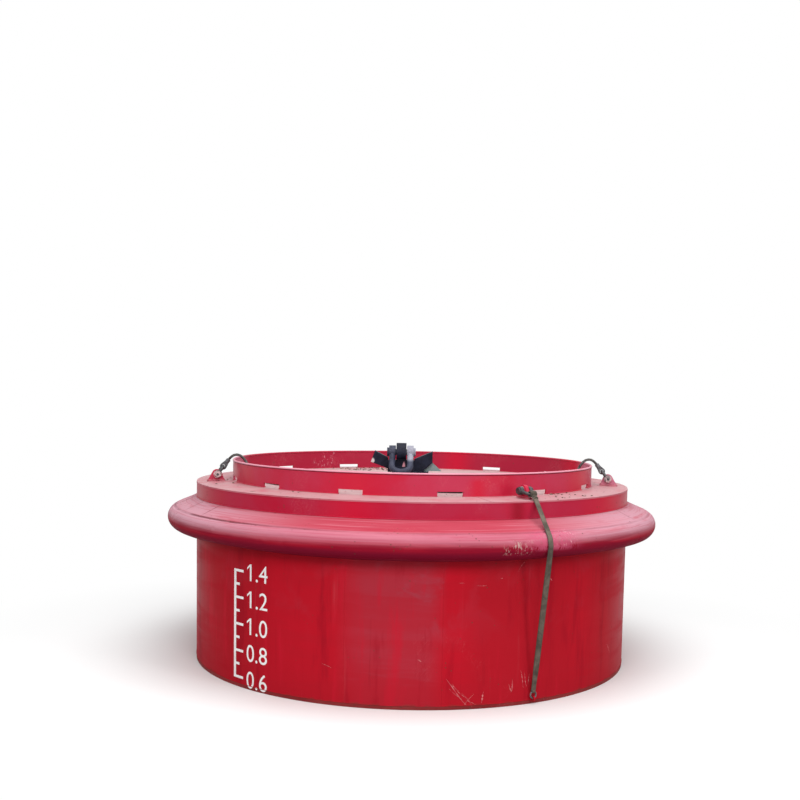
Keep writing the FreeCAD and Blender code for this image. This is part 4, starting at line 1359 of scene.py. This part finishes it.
roll_rows = spiral_rows(strap_knot, 0.0150, 0.0215, turns=2.3, start=0.4, lean=0.008)
hitch_parts = [band_piece("hitch_roll", roll_rows, width=0.036, thickness=0.0042)]
for aside, radius, lean in ((-0.021, 0.0185, 0.006), (0.022, 0.0175, -0.007)):
    turn_rows = spiral_rows(strap_knot, radius, radius + 0.003, 1.25, 1.3, lean, aside)
    hitch_parts.append(band_piece("hitch_turn", turn_rows, width=0.013, thickness=0.0045))
print(len(hitch_parts), "rolls")

# %% Waist of the hitch: three turns across the strap
waist, waist_normal = strap_line[3]
waist_run = Vector((waist_normal.y, -waist_normal.x))
waist_high, waist_wide, waist_cuts = 0.0085, 0.021, 28
for number, lift in enumerate((-0.012, 0.0, 0.013)):
    rows = []
    for k in range(waist_cuts + 1):
        angle = math.tau * 1.04 * k / waist_cuts
        out, side = math.sin(angle), math.cos(angle)
        along = waist + waist_run * (lift + 0.006 * math.cos(angle + number))
        centre = in_space(along + waist_normal * (waist_high * out), waist_wide * side)
        normal = in_space(waist_normal * (out / waist_high), side / waist_wide).normalized()
        rows.append((centre, normal, in_space(waist_run), k * 0.003, 1.0))
    hitch_parts.append(band_piece("hitch_waist", rows, width=0.012, thickness=0.0035))
print(len(hitch_parts), "turns of webbing in the hitch")

# %% Hitch as one piece
bpy.ops.object.select_all(action="DESELECT")
for part in hitch_parts:
    part.select_set(True)
hitch = hitch_parts[0]
bpy.context.view_layer.objects.active = hitch
bpy.ops.object.join()
hitch.name = "strap_hitch"
keep(hitch, webbing)

# %% Loop round the ring
loop_rows = spiral_rows(strap_circles[-1][:2], 0.0092, 0.0098, turns=1.1, start=math.pi / 2)
keep(band_piece("strap_ring_loop", loop_rows, width=0.03, thickness=0.0036), webbing)

# %% [markdown]
# ## Dirt on the deck
# Crumbs of dried mud, bits of straw and chips of old paint lie on the walkway and
# in the well. Specks in the paint stay flat, and the low camera looks along the
# deck, so these are real crumbs. A patch of deck is the piece, and the tree
# scatters crumbs over it where a noise lets them gather, all from one seed.

# %% Crumb tree
@shape(smooth=False, density=60.0, size=0.008, straw_length=0.04, straw_share=0.2, seed=1)
def crumbs(geometry, density, size, straw_length, straw_share, seed):
    tree = geometry.tree

    def chance(low, high, offset):
        """A random value or vector for each crumb, from the tree's seed."""
        vector = isinstance(low, tuple)
        first = 0 if vector else 2
        return put(tree, "FunctionNodeRandomValue", {"Seed": seed + offset, first: low, first + 1: high},
                   0 if vector else 1, data_type="FLOAT_VECTOR" if vector else "FLOAT")

    gathered = band(noise(source(geometry, "GeometryNodeInputPosition"), 7.0, 3.0, 0.6), 0.42, 0.66)
    spots = put(tree, "GeometryNodeDistributePointsOnFaces", {
        "Mesh": geometry, "Density": density * gathered, "Seed": seed})
    lump = put(tree, "GeometryNodeMeshIcoSphere", {"Radius": 0.5, "Subdivisions": 1})
    lump_size = chance((0.3, 0.3, 0.15), (1.2, 1.0, 0.55), 1.0) * size
    spin = put(tree, "FunctionNodeEulerToRotation", {0: chance((-0.3, -0.3, 0.0), (0.3, 0.3, 6.28), 2.0)})
    is_straw = maths("LESS_THAN", chance(0.0, 1.0, 3.0), straw_share)
    stalk = put(tree, "GeometryNodeMeshCylinder", {"Vertices": 5, "Radius": 0.0011, "Depth": 1.0})
    stalk = put(tree, "GeometryNodeTransform", {"Geometry": stalk, "Rotation": (0, math.pi / 2, 0)})
    stalk_size = xyz(straw_length * chance(0.4, 1.2, 4.0), 1.0, 1.0)
    return join(*[put(tree, "GeometryNodeInstanceOnPoints", {
        "Points": spots, "Selection": chosen, "Instance": thing, "Rotation": spin, "Scale": scale})
        for chosen, thing, scale in ((1.0 - is_straw, lump, lump_size), (is_straw, stalk, stalk_size))])


# %% Patches of deck
def deck_patch(name, start, end, inner, outer, lift=0.001):
    """A sector of the sloping deck as a grid, a hair above it."""
    across, rows = max(2, round((outer - inner) / 0.1)), max(2, round((end - start) / 3))
    radii = [inner + (outer - inner) * k / across for k in range(across + 1)]
    points = [polar(start + (end - start) * row / rows, radius, deck_height(radius) + lift)
              for row in range(rows + 1) for radius in radii]
    corners = [row * (across + 1) + k for row in range(rows) for k in range(across)]
    patch = mesh_piece(name, points, [(k, k + 1, k + across + 2, k + across + 1) for k in corners])
    tidy_normals(patch)
    return patch


# %% Where chips and mud lie: azimuths and radii of the patch, density and size of the crumbs
chips = two_tone("paint_chips", 0.7, 0.02, (0.6, 0.42, 0.4), (0.42, 0.16, 0.17))
mud = two_tone("dried_mud", 0.9, 0.03, (0.02, 0.013, 0.01), (0.14, 0.11, 0.07), 0.15)
chip_patches = {
    "right": ((37, 46, 1.508, 1.57), 1500.0, 0.02), "left": ((-84, -70, 1.508, 1.56), 900.0, 0.018),
    "well": ((182, 214, 0.9, 1.4), 130.0, 0.03)}
mud_patches = {
    "walkway": ((0, 357, 1.515, 1.79), 45.0, 0.008), "right_front": ((36, 51, 1.53, 1.78), 520.0, 0.021),
    "left_front": ((-68, -62, 1.55, 1.75), 160.0, 0.026),
    "front_left": ((-34, -29, 1.52, 1.62), 320.0, 0.022),
    "well": ((0, 357, 1.2, 1.48), 90.0, 0.01), "well_back": ((180, 214, 0.75, 1.45), 330.0, 0.033),
    "heap": ((37.5, 46, 1.512, 1.62), 560.0, 0.036)}
print(len(chip_patches), "patches of chips and", len(mud_patches), "of mud")

# %% Scattered chips and mud
for kind, places, material, straw, first_seed in (
        ("deck_chips_", chip_patches, chips, 0.1, 31), ("deck_dirt_", mud_patches, mud, 0.14, 11)):
    for number, (name, (sector, density, size)) in enumerate(places.items()):
        grow(deck_patch(kind + name, *sector), crumbs, "deck_red", material, density=density, size=size,
             straw_length=0.035, straw_share=straw, seed=number + first_seed)

# %% [markdown]
# ## Pale and worn places on the head and the lugs, and painted light on the rim
# One side of the big shackle is paler, the tip of the left horn is pale, and a
# chipped mark shows on the yoke. The rim has a painted highlight on top and
# painted shade below, and pale steel shows round the holes of the lugs and on the
# sling's ends. The recipes could take one more mask each, but these places are
# few. So a copy of the finish gets a mask by place, mixed over its colour.

# %% Overlay helpers
def overlay(name, material, mask_of, colour):
    """A copy of a material with one more colour laid over where a mask says so."""
    copy = material.copy()
    copy.name = name
    spot = Wire(node_in(copy, "TEX_COORD").outputs["Object"])
    under = Wire(node_in(copy, "BSDF_PRINCIPLED").inputs["Base Color"].links[0].from_socket)
    return use(copy, blend_colour(mask_of(spot), under, colour))


def repaint(nodes, material):
    for node in nodes:
        cad[node].data.materials[0] = material


def blot_at(spot, place, shape, grain, inner, outer):
    """A ragged blot round a place; the shape scales the distance along x, y and z."""
    away = maths("LENGTH", (spot - place) * shape)
    return band(away + noise(spot, grain) * 0.012, outer, inner)


# %% Pale and worn places on the mooring head
yoke_low, yoke_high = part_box("horn_yoke")
horn_tip = (yoke_low.x + 0.006, 0.0, deck_edge + 0.172)
yoke_middle = (yoke_low.x + 0.535 * (yoke_high.x - yoke_low.x), 0.0, deck_edge + 0.115)


# A paler grey on the shackle right of the eye.
def right_of_eye(spot):
    x, _, z = parts_of(spot)
    beside = band(x + noise(spot, 30.0) * 0.02, head_x + 0.02, head_x + 0.045)
    return mix_value(beside * band(z, yoke_top - 0.01, yoke_top + 0.02), 0.0, 0.85)


pale_shackle_grey, pale_tip_grey, chipped_mark = (0.32, 0.32, 0.38), (0.55, 0.5, 0.5), (0.8, 0.34, 0.4)
repaint(["mooring_shackle_bow", "mooring_shackle_pin"],
        overlay("pale_sided_shackle", worn_steel, right_of_eye, pale_shackle_grey))
# A pale grey spot at the tip of the left horn.
pale_tip_horn = overlay("pale_tip_horn", dark_steel, lambda spot: blot_at(
    spot, horn_tip, (1.0, 0.0, 1.0), grain=50.0, inner=0.024, outer=0.036), pale_tip_grey)
repaint(["horn_yoke"], overlay("marked_yoke", pale_tip_horn, lambda spot: blot_at(
    spot, yoke_middle, (1.0, 0.0, 0.3), grain=60.0, inner=0.014, outer=0.022), chipped_mark))


# %% Painted shade and highlight on the rim
def outer_top(spot):
    facing = outside(spot, normal=spot.other("Normal"), rise=1.0, low=0.75, high=1.2)
    return maths("MULTIPLY", facing, mix_value(noise(spot, 3.0, 4.0, 0.6), 0.55, 1.1), clamp=True)


def outer_low(spot):
    return outside(spot, normal=spot.other("Normal"), rise=-0.5, low=0.3, high=0.9)


# Painted light on the rim: a dark red painted shade on its lower outer side and a pale pink painted highlight
# on its top.
dark_rim, rim_highlight_pink = (0.2, 0.006, 0.02), (0.68, 0.3, 0.38)
shaded_rim = overlay("shaded_rim", coaming_paint, outer_low, dark_rim)
repaint(["coaming_rim"], overlay("highlit_rim", shaded_rim, outer_top, rim_highlight_pink))

# %% Pale steel round the holes of the lugs
hole = on_deck((0, 0, 0.056), 90, lug_ring_radius)


def worn_ring(spot):
    away = beside_ring(spot, hole.x, hole.z)
    worn = mix_value(band(noise(spot, 45.0), 0.42, 0.55), 0.3, 1.0)
    return band(away, 0.033, 0.029) * band(away, 0.009, 0.014) * worn


rubbed_lug, rubbed_zinc = (0.72, 0.58, 0.58), (0.58, 0.44, 0.44)
repaint(["lifting_lug_" + side for side in lug_places],
        overlay("ringed_lug", coaming_paint, worn_ring, rubbed_lug))
repaint(["sling_end_left", "sling_end_right"], overlay("ringed_end", dull_zinc, worn_ring, rubbed_zinc))
repaint(["shackle_pin_left", "shackle_pin_right", "shackle_bow_left", "shackle_bow_right"],
        overlay("ringed_pin", shackle_steel, worn_ring, rubbed_zinc))

# %% [markdown]
# ## Floor and light
# A pale floor runs out of the picture and turns into the same white as the
# world, so no horizon shows. A curved backdrop would hide it too, but only from
# one side. Only camera and mirror rays see floor and world that pale; the light
# they throw back is weaker, so the space under the fender stays dark.

# %% What the camera and mirrors see
def plainly_seen(tree):
    """1 for camera, mirror and glass rays, 0 for the light that a surface gives off."""
    camera_ray = put(tree, "ShaderNodeLightPath", output="Is Camera Ray")
    through = maths("MAXIMUM", camera_ray.other("Is Glossy Ray"), camera_ray.other("Is Transmission Ray"))
    return maths("MAXIMUM", camera_ray, through)


# %% Floor
bpy.ops.mesh.primitive_plane_add(size=400)
floor = bpy.context.object
floor.name = "floor"
floor.location.z = -0.0005
pale_floor = bpy.data.materials.new("pale_floor")
pale_floor.use_nodes = True
tree = pale_floor.node_tree
tree.nodes.clear()
seen = plainly_seen(tree)
plain = put(tree, "ShaderNodeBsdfDiffuse", {"Color": blend_colour(seen, (0.4, 0.4, 0.4), (0.9, 0.9, 0.9))})
white = put(tree, "ShaderNodeEmission", {"Color": (1, 1, 1), "Strength": 1.0})
far_off = band(maths("LENGTH", put(tree, "ShaderNodeTexCoord", output="Object")), 2.0, 4.5)
put(tree, "ShaderNodeOutputMaterial", {
    "Surface": put(tree, "ShaderNodeMixShader", {0: far_off * seen, 1: plain, 2: white})})
floor.data.materials.append(pale_floor)
print("floor at", round(floor.location.z, 4))

# %% World
world = bpy.data.worlds.new("overcast")
bpy.context.scene.world = world
world.use_nodes = True
tree = world.node_tree
tree.nodes.clear()
sky = put(tree, "ShaderNodeBackground", {
    "Color": (1, 1, 1), "Strength": mix_value(plainly_seen(tree), 0.5, 1.0)})
put(tree, "ShaderNodeOutputWorld", {"Surface": sky})
print("world", world.name)

# %% [markdown]
# The light is a soft overcast one: an even world, a broad panel overhead and one
# in front. A sun would draw hard shadows. Two tall panels stand left and right of
# the camera, and the curved hull mirrors them as two soft upright bands.

# %% Lamps
def panel(name, place, target, size, power):
    lamp = show(name, bpy.data.lights.new(name, "AREA"))
    lamp.data.shape = "RECTANGLE"
    lamp.data.size, lamp.data.size_y = size
    lamp.data.energy = power
    lamp.location = place
    lamp.rotation_euler = (Vector(target) - Vector(place)).to_track_quat("-Z", "Y").to_euler()


buoy_middle, tall_panel = (0, 0, 0.8), (1.2, 4.5)
panel("overhead", (0.5, -1.8, 7.5), (0, 0, 1), size=(7, 7), power=500)
panel("front", (0.0, -11.0, 6.5), buoy_middle, size=(9, 3), power=460)
panel("tall_left", polar(-33, 8.5, 2.6), buoy_middle, size=tall_panel, power=72)
panel("tall_right", polar(42, 8.5, 2.6), buoy_middle, size=tall_panel, power=100)
bpy.context.scene.view_settings.view_transform = "Standard"
print("lamps:", len(bpy.data.lights))
